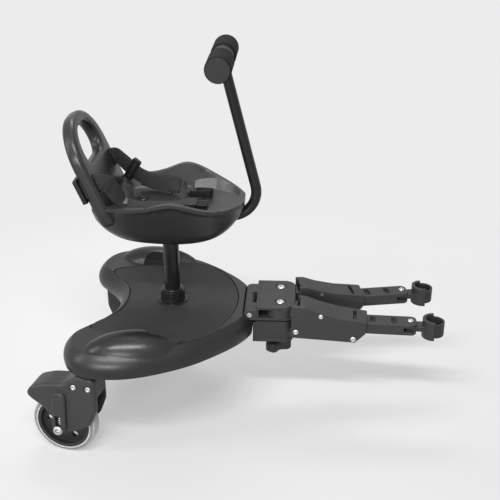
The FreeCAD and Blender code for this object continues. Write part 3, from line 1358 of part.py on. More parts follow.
def seat_place(along, across, up):
    height = s.seat_floor + up * s.seat_depth
    return V(along * seat_length - s.seat_rear, across * s.seat_half_width, height)


def belt(label, side, shares):
    """Webbing from behind its slot, along a route on the seat."""
    behind = s.back_thickness / 2 + s.slider_thickness
    places = [back_point(side * s.belt_slot_offset, s.belt_slot_rise, reach) for reach in (-behind, behind)]
    width_ways = [back_up, back_up]
    for along, across, up, forwards, outwards, upwards in shares:
        places.append(seat_place(along, side * across, up))
        width_ways.append(V(forwards, side * outwards, upwards))
    rings = []
    for i, (place, width_way) in enumerate(zip(places, width_ways)):
        run = (places[min(i + 1, len(places) - 1)] - places[max(i - 1, 0)]).normalize()
        across_run = (width_way - run * width_way.dot(run)).normalize()
        thick = run.cross(across_run) * (s.webbing_thickness / 2)
        wide = across_run * (s.webbing_width / 2)
        ring = [place + wide + thick, place + wide - thick, place - wide - thick, place - wide + thick]
        rings.append(Part.makePolygon(ring + ring[:1]))
    webbing = doc.addObject("Part::Feature", "Webbing")
    webbing.Shape = Part.makeLoft(rings, True, True)
    if webbing.Shape.Volume < 0:
        raise ValueError(f"{label} is folded over itself")
    keep(webbing, label)
    return places


far_stops = belt("far_strap", FAR, FAR_BELT_SHARES)
near_stops = belt("near_strap", NEAR, NEAR_BELT_SHARES)


def bar_frame(label, length, bars):
    """Strap slider lying flat: a frame with windows between its bars, across the strap."""
    frame = Moulding(label)
    face = frame.sketch("XY_Plane")
    half_length = length / 2
    half_width = s.slider_width / 2
    rectangle(face, -half_length, half_length, -half_width, half_width, s.slider_bar / 2)
    pitch = (length - s.slider_bar) / bars
    for i in range(bars):
        left = -half_length + s.slider_bar + i * pitch
        rectangle(face, left, left + pitch - s.slider_bar, s.slider_bar - half_width,
                  half_width - s.slider_bar)
    frame.pad(face, "slider_thickness")
    return frame.body


sliders = []
for side in SIDES.values():
    slider = bar_frame("Slider", s.slider_length, 2)
    rear = -s.back_thickness / 2 - s.slider_thickness - s.slip_gap
    slider_across = side * (s.belt_slot_offset + (s.slider_length - s.slider_bar) / 4)
    upright = FreeCAD.Placement(V(rear, slider_across, s.belt_slot_rise), FreeCAD.Rotation(ACROSS, 90))
    slider.Placement = back_home * upright * placed(turn=90)
    sliders.append(slider)
keep(grouped(*sliders), "strap_sliders")

adjuster = bar_frame("Adjuster", s.adjuster_length, 1)
strap_run = far_stops[4] - far_stops[2]
facing = FreeCAD.Rotation(strap_run, UP, strap_run.cross(UP), "XYZ")
through_foot = V(0, 0, (s.slider_thickness - s.webbing_thickness) / 2 - s.webbing_play)
through = slab("2 * slider_length", "webbing_width + 2 * webbing_play",
               "webbing_thickness + 2 * webbing_play", through_foot)
adjuster_middle = far_stops[3] - facing.multVec(UP) * (s.slider_thickness / 2)
keep(cut(adjuster, through), "strap_adjuster", FreeCAD.Placement(adjuster_middle, facing))

buckle = Moulding("buckle_socket")
buckle_plan = buckle.sketch("XY_Plane")
rectangle(buckle_plan, 0, s.buckle_length, -s.buckle_width / 2, s.buckle_width / 2, s.buckle_round)
buckle.pad(buckle_plan, "buckle_thickness")
buckle_mouth = buckle.sketch("YZ_Plane", "buckle_length - tongue_prong_length")
rectangle(buckle_mouth, -s.buckle_width / 2 + s.buckle_round, s.buckle_width / 2 - s.buckle_round,
          s.buckle_round / 2, s.buckle_thickness - s.buckle_round / 2)
buckle.pocket(buckle_mouth, "2 * tongue_prong_length", flip=True)
socket_place = V(far_stops[-1].x + s.slip_gap, far_stops[-1].y, s.seat_floor + s.slip_gap)
keep(buckle.body, "buckle_socket", FreeCAD.Placement(socket_place, FreeCAD.Rotation()))

tongue = Moulding("buckle_tongue")
tongue_plan = tongue.sketch("XY_Plane")
tongue_base = s.buckle_length - s.tongue_prong_length
rectangle(tongue_plan, 0, tongue_base, -s.buckle_width / 2, s.buckle_width / 2, s.buckle_round)
tongue.pad(tongue_plan, "buckle_thickness * tongue_thickness_share")
prongs = tongue.sketch("XY_Plane", "buckle_thickness / 4")
for share in (-1, 0, 1):
    prong_middle = share * (s.buckle_width / 2 - s.buckle_round - s.tongue_prong / 2)
    rectangle(prongs, tongue_base - s.buckle_round, s.buckle_length, prong_middle - s.tongue_prong / 2,
              prong_middle + s.tongue_prong / 2)
tongue.pad(prongs, "buckle_thickness / 3")
tongue_place = V(near_stops[-1].x + s.slip_gap, near_stops[-1].y, s.seat_floor + s.slip_gap)
keep(tongue.body, "buckle_tongue", FreeCAD.Placement(tongue_place, FreeCAD.Rotation()))

doc.recompute()

# Checks, then every sub-part moves so that the origin lies under the middle of the length
whole = FreeCAD.BoundBox()
for thing in doc.Objects:
    if "Invalid" in thing.State or "Error" in thing.State:
        raise ValueError(f"{thing.Label} did not build")
for thing in sub_parts:
    if thing.Shape.isNull() or not thing.Shape.isValid():
        raise ValueError(f"{thing.Label} has no valid shape")
    whole.add(thing.Shape.BoundBox)
shift = placed(-(whole.XMin + whole.XMax) / 2)
os.makedirs("parts", exist_ok=True)
for thing in sub_parts:
    thing.Placement = shift * thing.Placement
    thing.Shape.exportStep(f"parts/{thing.Label}.step")
print("origin moved by", round(shift.Base.x, 2))
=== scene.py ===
import math

import bmesh
import bpy
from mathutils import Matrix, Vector


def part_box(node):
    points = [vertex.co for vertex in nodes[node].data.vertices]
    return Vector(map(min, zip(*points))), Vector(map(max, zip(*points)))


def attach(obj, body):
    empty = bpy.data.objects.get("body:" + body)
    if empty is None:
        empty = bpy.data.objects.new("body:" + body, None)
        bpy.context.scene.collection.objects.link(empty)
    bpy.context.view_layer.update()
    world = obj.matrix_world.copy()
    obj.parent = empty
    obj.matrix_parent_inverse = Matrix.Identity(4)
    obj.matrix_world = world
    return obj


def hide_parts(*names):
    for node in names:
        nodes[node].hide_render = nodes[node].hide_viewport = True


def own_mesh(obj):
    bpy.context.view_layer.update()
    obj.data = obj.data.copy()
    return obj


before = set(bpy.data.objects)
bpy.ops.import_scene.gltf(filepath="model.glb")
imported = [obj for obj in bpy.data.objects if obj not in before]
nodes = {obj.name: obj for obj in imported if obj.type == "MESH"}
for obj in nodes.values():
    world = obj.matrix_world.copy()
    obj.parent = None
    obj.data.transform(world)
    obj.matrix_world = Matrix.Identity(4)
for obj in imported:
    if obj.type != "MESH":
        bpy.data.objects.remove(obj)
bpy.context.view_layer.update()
scene = bpy.context.scene
scene.view_settings.view_transform = "Standard"

# Camera, fitted to the photograph: upright, on the board's near side and looking down at it
CAMERA_PLACE = Vector((0.07994, -1.271, 0.8593))
CAMERA_TURN = math.radians(3.1)
CAMERA_DROP = math.radians(24.8)
PHOTO_PIXELS = 500
FOCUS_PIXELS = 900
SENSOR_MM = 36.0
NEAR_CLIP = 0.05
FAR_CLIP = 60.0

# Corners closer than this are one, and edges that turn more than these angles stay sharp
WELD_DISTANCE = 0.000002
SHARP_EDGE = math.radians(32)
SHARP_COIL_EDGE = math.radians(55)

# Steps in a rounded edge's quarter turn
ROUND_STEPS = 6

# Turns of the arms and the casters about the vertical, in degrees
ARM_TURNS = {"near": -2.5, "far": 11.0}
CASTER_TURNS = {"near": -12.0, "far": 172.0}
UPWARD = Vector((0.0, 0.0, 1.0))


def level_across(degrees):
    """Level way across an arm or a caster that is turned about the vertical."""
    turn = math.radians(degrees)
    return Vector((-math.sin(turn), math.cos(turn), 0.0))


def make_camera():
    """The photograph's own view."""
    lens = bpy.data.cameras.new("camera")
    lens.sensor_width = SENSOR_MM
    lens.lens = SENSOR_MM * FOCUS_PIXELS / PHOTO_PIXELS
    lens.clip_start = NEAR_CLIP
    lens.clip_end = FAR_CLIP
    camera = bpy.data.objects.new("camera", lens)
    camera.location = CAMERA_PLACE
    camera.rotation_euler = (math.pi / 2 - CAMERA_DROP, 0.0, CAMERA_TURN)
    scene.collection.objects.link(camera)
    scene.camera = camera


class Finish:
    """One procedural material, with short names for the nodes that its detail needs."""

    # How far a rounded normal agrees with the flat one, at an edge and on a face
    EDGE_AGREEMENT = 0.86
    FACE_AGREEMENT = 0.995

    def __init__(self, name):
        self.material = bpy.data.materials.new(name)
        self.material.use_nodes = True
        self.tree = self.material.node_tree
        self.shader = self.tree.nodes["Principled BSDF"]
        self.place = self.node("ShaderNodeTexCoord").outputs["Object"]

    def node(self, kind, **settings):
        made = self.tree.nodes.new(kind)
        for name, value in settings.items():
            setattr(made, name, value)
        return made

    def feed(self, socket, value):
        """Links a socket to another node's output, or sets it to a constant."""
        if isinstance(value, bpy.types.NodeSocket):
            self.tree.links.new(value, socket)
        else:
            socket.default_value = value

    def set(self, **values):
        """Feeds the shader's inputs, named with _ for each space."""
        for name, value in values.items():
            self.feed(self.shader.inputs[name.replace("_", " ")], value)

    def noise(self, scale, detail=4.0, roughness=0.55, place=None):
        made = self.node("ShaderNodeTexNoise")
        self.feed(made.inputs["Vector"], place or self.place)
        made.inputs["Scale"].default_value = scale
        made.inputs["Detail"].default_value = detail
        made.inputs["Roughness"].default_value = roughness
        return made.outputs["Fac"]

    def cells(self, scale, feature="F1"):
        made = self.node("ShaderNodeTexVoronoi", feature=feature)
        self.feed(made.inputs["Vector"], self.place)
        made.inputs["Scale"].default_value = scale
        return made.outputs["Distance"]

    def stretched(self, x, y, z):
        """The surface's place, scaled differently along each axis."""
        made = self.node("ShaderNodeMapping")
        self.feed(made.inputs["Vector"], self.place)
        made.inputs["Scale"].default_value = (x, y, z)
        return made.outputs["Vector"]

    def span(self, value, low, high, from_low=0.0, from_high=1.0):
        """A value brought from one range to another: the new range is given first, then the old one."""
        made = self.node("ShaderNodeMapRange")
        self.feed(made.inputs["Value"], value)
        made.inputs["From Min"].default_value = from_low
        made.inputs["From Max"].default_value = from_high
        made.inputs["To Min"].default_value = low
        made.inputs["To Max"].default_value = high
        return made.outputs["Result"]

    def maths(self, operation, first, second=0.0):
        made = self.node("ShaderNodeMath", operation=operation)
        self.feed(made.inputs[0], first)
        self.feed(made.inputs[1], second)
        return made.outputs["Value"]

    def tint(self, share, first, second):
        """Mix of two colours, where the share is the second one's."""
        made = self.node("ShaderNodeMix", data_type="RGBA")
        self.feed(made.inputs["Factor"], share)
        self.feed(made.inputs["A"], first)
        self.feed(made.inputs["B"], second)
        return made.outputs["Result"]

    def height(self):
        """The surface's height above the floor, at rest."""
        made = self.node("ShaderNodeSeparateXYZ")
        self.feed(made.inputs["Vector"], self.place)
        return made.outputs["Z"]

    def soft_edges(self, radius):
        """Normal of a surface whose edges look rounded."""
        made = self.node("ShaderNodeBevel", samples=6)
        made.inputs["Radius"].default_value = radius
        return made.outputs["Normal"]

    def edges(self, rounded):
        """1 along the piece's edges and 0 on its faces."""
        flat = self.node("ShaderNodeNewGeometry").outputs["Normal"]
        made = self.node("ShaderNodeVectorMath", operation="DOT_PRODUCT")
        self.feed(made.inputs[0], rounded)
        self.feed(made.inputs[1], flat)
        return self.span(made.outputs["Value"], 1.0, 0.0, self.EDGE_AGREEMENT, self.FACE_AGREEMENT)

    def bump(self, height, distance, strength, normal=None):
        """Normal of a surface with relief of a height, over a normal that is there already."""
        made = self.node("ShaderNodeBump")
        self.feed(made.inputs["Height"], height)
        made.inputs["Distance"].default_value = distance
        made.inputs["Strength"].default_value = strength
        if normal is not None:
            self.feed(made.inputs["Normal"], normal)
        return made.outputs["Normal"]


def grey(value, warm=0.0):
    """Linear grey of a given value, a little warm or cool."""
    return (value * (1 + warm), value, value * (1 - warm), 1.0)


# Specular levels of a polished black surface, a textured one and foam, where 0.5 is a bare smooth one
POLISHED_GLOSS = 0.34
DULL_GLOSS = 0.24
FOAM_GLOSS = 0.15


def grained_colour(finish, tone, cloud_scale, lightest, speckle_scale):
    """A plastic's tone with faint flow clouds and fine pale specks."""
    clouds = finish.noise(cloud_scale, detail=3.0)
    base = finish.tint(clouds, grey(tone * 0.84, -0.02), grey(tone * lightest, -0.01))
    specks = finish.span(finish.noise(speckle_scale, detail=2.0), 0.0, 0.3, 0.45, 0.75)
    return finish.tint(specks, base, grey(tone * 1.7))


def worn_and_highlit_edges(finish, rounded, patch_scale):
    """1 along a piece's edges, in patches, and 0 elsewhere: partly worn by handling and partly a painted
    highlight.
    """
    patches = finish.span(finish.noise(patch_scale, detail=5.0), 0.1, 0.8, 0.3, 0.7)
    return finish.maths("MULTIPLY", finish.edges(rounded), patches)


def moulded(name, tone, rough, grain=1500.0, depth=0.00004, edge=0.0011,
            edge_wear_and_highlight=2.0, coat=0.0, gloss=DULL_GLOSS):
    """Textured moulded plastic: fine spark grain, faint flow clouds, handling marks, and edges lighter in
    patches, partly worn and partly a painted highlight.
    """
    finish = Finish(name)
    base = grained_colour(finish, tone, cloud_scale=14.0, lightest=1.16, speckle_scale=grain * 0.6)
    rounded = finish.soft_edges(edge)
    worn_highlit = worn_and_highlit_edges(finish, rounded, patch_scale=55.0)
    # Edges lighter in patches: partly worn by handling, partly a painted highlight along the rounded edges
    colour = finish.tint(worn_highlit, base, grey(tone * edge_wear_and_highlight))
    marks = finish.span(finish.noise(38.0, detail=6.0, roughness=0.7), -0.05, 0.07, 0.3, 0.7)
    roughness = finish.maths("ADD", marks, rough)
    roughness = finish.maths("SUBTRACT", roughness, finish.maths("MULTIPLY", worn_highlit, 0.08))
    finish.set(Base_Color=colour, Roughness=roughness, IOR=1.5, Specular_IOR_Level=gloss)
    if coat:
        finish.set(Coat_Weight=coat, Coat_Roughness=0.22)
    finish.set(Normal=finish.bump(finish.noise(grain, detail=2.0), depth, 0.7, rounded))
    return finish.material


def painted(name, tone, rough):
    """Powder coat on steel: orange peel, specks of dust and an uneven sheen."""
    finish = Finish(name)
    dust = finish.span(finish.noise(70.0, detail=6.0, roughness=0.7), 0.0, 0.5, 0.52, 0.8)
    colour = finish.tint(dust, grey(tone, -0.02), grey(tone * 2.1))
    rounded = finish.soft_edges(0.0006)
    sheen = finish.span(finish.noise(45.0, detail=5.0), rough - 0.06, rough + 0.08)
    finish.set(Base_Color=colour, Roughness=sheen, IOR=1.5, Specular_IOR_Level=DULL_GLOSS)
    finish.set(Coat_Weight=0.08, Coat_Roughness=0.16)
    finish.set(Normal=finish.bump(finish.noise(650.0, detail=2.0), 0.00005, 0.5, rounded))
    return finish.material


def plated(name, tone, rough, warm=0.0, streak=(60.0, 60.0, 900.0)):
    """Plated or bare metal with fine drawn streaks and dull specks."""
    finish = Finish(name)
    streaks = finish.noise(1.0, detail=3.0, place=finish.stretched(*streak))
    specks = finish.span(finish.noise(900.0, detail=3.0), 0.0, 0.7, 0.55, 0.75)
    colour = finish.tint(specks, grey(tone, warm), grey(tone * 0.72, warm))
    rounded = finish.soft_edges(0.0004)
    finish.set(Base_Color=colour, Metallic=1.0, Roughness=finish.span(streaks, rough - 0.06, rough + 0.1))
    finish.set(Normal=finish.bump(streaks, 0.00002, 0.4, rounded))
    return finish.material


def rubber(name, tone, rough, pebble, depth):
    """Matte rubber with a pebbled face and scuffs that catch dust."""
    finish = Finish(name)
    pebbles = finish.cells(pebble, "SMOOTH_F1")
    scuffs = finish.span(finish.noise(26.0, detail=7.0, roughness=0.75), 0.0, 0.55, 0.5, 0.75)
    # Pebble tops painted lighter and the hollows between them darker: painted light and shade over the
    # relief
    base = finish.tint(finish.span(pebbles, 0.0, 1.0, 0.1, 0.6), grey(tone * 1.3), grey(tone * 0.75))
    colour = finish.tint(scuffs, base, grey(tone * 1.75))
    rounded = finish.soft_edges(0.0009)
    # Edges painted three times lighter all round: a painted highlight along them
    colour = finish.tint(finish.edges(rounded), colour, grey(tone * 3.0))
    roughening = finish.noise(pebble * 3.0, detail=2.0)
    height = finish.maths("ADD", finish.maths("MULTIPLY", pebbles, -1.0), roughening)
    finish.set(Base_Color=colour, Roughness=finish.span(scuffs, rough, rough + 0.12), IOR=1.5)
    finish.set(Specular_IOR_Level=DULL_GLOSS)
    finish.set(Normal=finish.bump(height, depth, 0.6, rounded))
    return finish.material


# Bounds of a tyre's darker wall and of the painted highlight along its inner edge, as shares of its radius
WALL_BOUNDS = (0.95, 0.975)
INNER_HIGHLIGHT_BOUNDS = (0.86, 0.885)


def tyre_rubber(name, node_name, axle):
    """Pale see-through polyurethane, dusty on the tread, with a darker wall and a painted highlight along
    its inner edge.
    """
    finish = Finish(name)
    low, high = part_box(node_name)
    radius = (high.z - low.z) / 2
    offset = finish.node("ShaderNodeVectorMath", operation="SUBTRACT")
    finish.feed(offset.inputs[0], finish.place)
    offset.inputs[1].default_value = (low + high) / 2
    sideways = finish.node("ShaderNodeVectorMath", operation="CROSS_PRODUCT")
    finish.feed(sideways.inputs[0], offset.outputs["Vector"])
    sideways.inputs[1].default_value = axle
    reach = finish.node("ShaderNodeVectorMath", operation="LENGTH")
    finish.feed(reach.inputs[0], sideways.outputs["Vector"])
    from_axle = reach.outputs["Value"]
    wall = finish.span(from_axle, 1.0, 0.0, radius * WALL_BOUNDS[0], radius * WALL_BOUNDS[1])
    # Painted highlight: the inner edge is painted lighter
    inner = finish.span(from_axle, 1.0, 0.0, radius * INNER_HIGHLIGHT_BOUNDS[0], radius * INNER_HIGHLIGHT_BOUNDS[1])
    dust = finish.noise(90.0, detail=6.0, roughness=0.7)
    rings = finish.noise(1.0, detail=3.0, place=finish.stretched(40.0, 900.0, 40.0))
    colour = finish.tint(finish.span(dust, 0.0, 0.8, 0.42, 0.72), grey(0.7), grey(0.42))
    colour = finish.tint(wall, colour, grey(0.27))
    colour = finish.tint(inner, colour, grey(0.72))
    rounded = finish.soft_edges(0.0012)
    finish.set(Base_Color=colour, Roughness=finish.span(dust, 0.22, 0.42), IOR=1.46)
    finish.set(Transmission_Weight=0.35, Subsurface_Weight=0.25, Subsurface_Radius=(0.01, 0.01, 0.01))
    finish.set(Normal=finish.bump(rings, 0.00005, 0.5, rounded))
    return finish.material


def foam(name, tone):
    """Closed-cell foam: fine pores of two sizes, and a bloom of dust."""
    finish = Finish(name)
    pores = finish.cells(1500.0)
    pits = finish.cells(520.0)
    bloom = finish.noise(35.0, detail=5.0)
    base = finish.tint(finish.span(pores, 0.0, 1.0, 0.1, 0.7), grey(tone * 1.35), grey(tone * 0.6))
    colour = finish.tint(finish.span(bloom, 0.0, 0.45, 0.45, 0.75), base, grey(tone * 1.9))
    height = finish.maths("ADD", pores, finish.maths("MULTIPLY", pits, 0.6))
    finish.set(Base_Color=colour, Roughness=finish.span(bloom, 0.74, 0.9), IOR=1.4)
    finish.set(Specular_IOR_Level=FOAM_GLOSS)
    finish.set(Normal=finish.bump(height, 0.00018, 0.75))
    return finish.material


# Spacing of the ribs across the webbing and of the cords along it
RIB_PITCH = 0.0026
CORD_PITCH = 0.0025


def webbing(name, tone):
    """Woven belt: weft ribs across it, warp cords along it, and patches of paler fuzz."""
    finish = Finish(name)
    spread = finish.node("ShaderNodeUVMap", uv_map="weave").outputs["UV"]
    parts = finish.node("ShaderNodeSeparateXYZ")
    finish.feed(parts.inputs["Vector"], spread)
    across = parts.outputs["X"]
    along = parts.outputs["Y"]
    turn = finish.maths("MULTIPLY", along, 2 * math.pi / RIB_PITCH)
    warp_turn = finish.maths("MULTIPLY", across, 2 * math.pi / CORD_PITCH)
    offset = finish.maths("MULTIPLY", finish.maths("SINE", warp_turn), 1.2)
    ribs = finish.maths("SINE", finish.maths("ADD", turn, offset))
    cords = finish.maths("SINE", warp_turn)
    height = finish.maths("ADD", finish.maths("MULTIPLY", ribs, 0.5), finish.maths("MULTIPLY", cords, 0.25))
    fuzz = finish.noise(420.0, detail=4.0)
    # The weave's grooves painted darker and its raised ribs lighter: painted shade and light over the relief
    base = finish.tint(finish.span(height, 0.0, 1.0, -0.6, 0.7), grey(tone * 0.4), grey(tone * 1.8))
    colour = finish.tint(finish.span(fuzz, 0.0, 0.5, 0.5, 0.8), base, grey(tone * 2.2))
    finish.set(Base_Color=colour, Roughness=finish.span(fuzz, 0.66, 0.86), IOR=1.45)
    finish.set(Sheen_Weight=0.05, Sheen_Roughness=0.4)
    finish.set(Normal=finish.bump(height, 0.0004, 0.9))
    return finish.material


# Heights on the deck between which its dull flats give way to the humps' polish
DULL_BELOW = 0.1796
POLISHED_ABOVE = 0.1896


def deck_plastic(name, tone):
    """The deck's grained plastic: dull on its flats, and polished smoother over the humps and the rim."""
    finish = Finish(name)
    polish = finish.span(finish.height(), 0.0, 1.0, DULL_BELOW, POLISHED_ABOVE)
    base = grained_colour(finish, tone, cloud_scale=12.0, lightest=1.14, speckle_scale=1100.0)
    rounded = finish.soft_edges(0.0012)
    worn_highlit = worn_and_highlit_edges(finish, rounded, patch_scale=50.0)
    scratch_place = finish.stretched(220.0, 26.0, 60.0)
    scratch_noise = finish.noise(1.0, detail=4.0, roughness=0.7, place=scratch_place)
    scratches = finish.span(scratch_noise, 0.0, 0.35, 0.62, 0.75)
    # Lighter edges in patches, partly worn and partly a painted highlight, and real scratches
    colour = finish.tint(finish.maths("ADD", worn_highlit, scratches), base, grey(tone * 1.9))
    marks = finish.span(finish.noise(34.0, detail=6.0, roughness=0.7), -0.05, 0.06, 0.3, 0.7)
    rough = finish.maths("ADD", finish.span(polish, 0.36, 0.29), marks)
    finish.set(Base_Color=colour, Roughness=rough, IOR=1.5, Specular_IOR_Level=POLISHED_GLOSS)
    finish.set(Normal=finish.bump(finish.noise(1500.0, detail=2.0), 0.00004, 0.7, rounded))
    return finish.material


# The object's finishes. The first number is a linear tone, and the second a roughness
charcoal = moulded("charcoal_plastic", 0.024, 0.42)
seat_plastic = moulded("seat_plastic", 0.015, 0.32, grain=1300.0, gloss=POLISHED_GLOSS)
fork_plastic = moulded("fork_plastic", 0.028, 0.35)
arm_plastic = moulded("arm_plastic", 0.026, 0.46, grain=1700.0, edge=0.001, edge_wear_and_highlight=4.0)
trim_plastic = moulded("trim_plastic", 0.007, 0.5, grain=900.0, depth=0.00002, edge=0.0006, edge_wear_and_highlight=6.0)
gloss_plastic = moulded(
    "gloss_plastic", 0.008, 0.24, grain=900.0, depth=0.00002, edge=0.0006, edge_wear_and_highlight=2.2, coat=0.3
)
hub_plastic = moulded("hub_plastic", 0.02, 0.38)
cap_plastic = moulded("cap_plastic", 0.009, 0.5, grain=1000.0, depth=0.00006)
deck_finish = deck_plastic("deck_plastic", 0.011)
mat_rubber = rubber("mat_rubber", 0.025, 0.7, 620.0, 0.00012)
strap_rubber = rubber("strap_rubber", 0.02, 0.5, 900.0, 0.00005)
black_paint = painted("black_paint", 0.007, 0.28)
zinc = plated("zinc_plate", 0.52, 0.34)
dark_steel = plated("dark_steel", 0.07, 0.4)
spring_steel = plated("spring_steel", 0.62, 0.3, streak=(400.0, 400.0, 400.0))
bearing_steel = plated("bearing_steel", 0.55, 0.34)
brass = plated("bush_brass", 0.5, 0.35, warm=0.35)
near_tyre = tyre_rubber("near_tyre_polyurethane", "wheel_tyre_near", level_across(CASTER_TURNS["near"]))
far_tyre = tyre_rubber("far_tyre_polyurethane", "wheel_tyre_far", level_across(CASTER_TURNS["far"]))
grip_foam = foam("grip_foam", 0.011)
belt = webbing("belt_webbing", 0.009)
# Much paler webbing for the loose ends: painted light where their flat faces catch the lamps
tail_webbing_painted_lit = webbing("belt_webbing_tail_painted_lit", 0.11)

# Finish of each CAD node that no piece below replaces, by its name with or without its side
FINISHES = {
    "platform": deck_finish,
    "grip_mat": mat_rubber,
    "post_socket": black_paint,
    "post_collar": gloss_plastic,
    "hinge_bracket": arm_plastic,
    "hinge_pin": zinc,
    "caster_bushes": brass,
    "seat_post": black_paint,
    "seat_plate": black_paint,
    "seat_shell": seat_plastic,
    "handle_tube": black_paint,
    "grip_core": cap_plastic,
    "grip_caps": cap_plastic,
    "strap_sliders": trim_plastic,
    "strap_adjuster": trim_plastic,
    "buckle_socket": trim_plastic,
    "buckle_tongue": trim_plastic,
    "coupler_block": arm_plastic,
    "clamp_housing": charcoal,
    "wing_knob": charcoal,
    "clamp_screw": zinc,
    "arm_housing": arm_plastic,
    "latch_lever": arm_plastic,
    "extension_bar": arm_plastic,
    "connector_saddle": charcoal,
    "connector_strap": strap_rubber,
    "caster_stem": zinc,
    "fork_outer": fork_plastic,
    "fork_inner": fork_plastic,
    "wheel_hub": hub_plastic,
    "wheel_tyre_near": near_tyre,
    "wheel_tyre_far": far_tyre,
    "wheel_bearings": bearing_steel,
}


def keep_sharp(owner, angle):
    """Keeps edges that turn more than an angle sharp under smooth shading."""
    split = owner.modifiers.new("sharp edges", "EDGE_SPLIT")
    split.split_angle = angle


def dress(node_name, node):
    """Gives a CAD node its finish, if it has one, and shades its faces smooth up to its sharp edges."""
    kind = node_name.removesuffix("_near").removesuffix("_far")
    finish = FINISHES.get(node_name) or FINISHES.get(kind)
    if finish is None:
        return
    node.data.materials.clear()
    node.data.materials.append(finish)
    merge = node.modifiers.new("merge", "WELD")
    merge.merge_threshold = WELD_DISTANCE
    keep_sharp(node, SHARP_EDGE)
    node.data.polygons.foreach_set("use_smooth", [True] * len(node.data.polygons))


def piece(name, mesh, body, finish):
    """New visual piece that rides on a body."""
    made = bpy.data.objects.new(name, mesh)
    scene.collection.objects.link(made)
    mesh.materials.append(finish)
    mesh.polygons.foreach_set("use_smooth", [True] * len(mesh.polygons))
    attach(made, body)
    return made


def join_rings(shape, rings, following):
    """Adds faces between each ring of corners and the one that follows it."""
    for ring, after in zip(rings, following):
        for k in range(len(ring)):
            k_next = (k + 1) % len(ring)
            shape.faces.new((ring[k], ring[k_next], after[k_next], after[k]))


def closed_mesh(name, shape):
    """Mesh of a closed shape, with its faces turned outward."""
    bmesh.ops.recalc_face_normals(shape, faces=shape.faces[:])
    mesh = bpy.data.meshes.new(name)
    shape.to_mesh(mesh)
    shape.free()
    return mesh


def welded(node_name):
    """Shape of a CAD node, with the doubled corners of its triangles joined."""
    shape = bmesh.new()
    shape.from_mesh(nodes[node_name].data)
    bmesh.ops.remove_doubles(shape, verts=shape.verts[:], dist=WELD_DISTANCE)
    return shape


def smooth_line(stops, step):
    """Places and width directions along a smooth line through stops, a step apart."""
    places = [Vector(place) for place, _ in stops]
    ways = [Vector(way).normalized() for _, way in stops]
    places = [2 * places[0] - places[1]] + places + [2 * places[-1] - places[-2]]
    ways = [ways[0]] + ways + [ways[-1]]
    line = []
    for i in range(1, len(places) - 2):
        count = max(2, round((places[i + 1] - places[i]).length / step))
        for k in range(count):
            t = k / count
            # Catmull-Rom weights of the four stops around this place
            weights = (
                (-t + 2 * t ** 2 - t ** 3) / 2,
                (2 - 5 * t ** 2 + 3 * t ** 3) / 2,
                (t + 4 * t ** 2 - 3 * t ** 3) / 2,
                (t ** 3 - t ** 2) / 2,
            )
            place = sum((w * p for w, p in zip(weights, places[i - 1:i + 3])), Vector())
            line.append((place, ways[i].lerp(ways[i + 1], t * t * (3 - 2 * t)).normalized()))
    line.append((places[-2], ways[-2]))
    return line


def gathered(line, folds):
    """The line with a stretch of it pushed into folds. Folds: first and last share, height and count."""
    first, last, height, count = folds
    puckered = []
    for i, (place, way) in enumerate(line):
        share = (i / (len(line) - 1) - first) / (last - first)
        if 0.0 < share < 1.0:
            run = (line[i + 1][0] - line[i - 1][0]).normalized()
            lift = height * math.sin(math.pi * share) ** 0.5 * math.sin(2 * math.pi * count * share)
            place = place + run.cross(way).normalized() * lift
        puckered.append((place, way))
    return puckered


# Webbing: its size, the columns and steps of its mesh, and its selvedges' rounding in half thicknesses
BELT_WIDTH = 0.025
BELT_THICKNESS = 0.0017
BELT_COLUMNS = 12
BELT_STEP = 0.0008
SELVEDGE_RISE = 0.7
SELVEDGE_INSET = 0.3


def webbing_section(width):
    """Outline across flat webbing with rounded selvedges: places over its width and its thickness."""
    half = BELT_THICKNESS / 2
    flat_share = 1 - 2 * half / width
    flats = [(i / BELT_COLUMNS - 0.5) * flat_share * width for i in range(BELT_COLUMNS + 1)]
    edge = width / 2
    shoulder = edge - half * SELVEDGE_INSET
    rise = half * SELVEDGE_RISE
    section = [(place, half) for place in flats]
    section += [(shoulder, rise), (edge, 0.0), (shoulder, -rise)]
    section += [(place, -half) for place in reversed(flats)]
    section += [(-shoulder, -rise), (-edge, 0.0), (-shoulder, rise)]
    return section


def ribbon(name, stops, width, cup, folds):
    """Webbing along a smooth line, cupped across it. Its UV map is in metres: across and along."""
    line = smooth_line(stops, BELT_STEP)
    if folds:
        line = gathered(line, folds)
    section = webbing_section(width)
    shape = bmesh.new()
    uv = shape.loops.layers.uv.new("weave")
    weave = {}
    rings = []
    travelled = 0.0
    for i, (place, way) in enumerate(line):
        run = (line[min(i + 1, len(line) - 1)][0] - line[max(i - 1, 0)][0]).normalized()
        across = (way - run * way.dot(run)).normalized()
        normal = run.cross(across)
        if i:
            travelled += (place - line[i - 1][0]).length
        ring = []
        for u, v in section:
            curl = cup * (1 - (2 * u / width) ** 2)
            corner = shape.verts.new(place + across * u + normal * (v + curl))
            weave[corner] = (u, travelled)
            ring.append(corner)
        rings.append(ring)
    join_rings(shape, rings, rings[1:])
    for face in shape.faces:
        for loop in face.loops:
            loop[uv].uv = weave[loop.vert]
    shape.faces.new(list(reversed(rings[0])))
    shape.faces.new(rings[-1])
    return closed_mesh(name, shape)


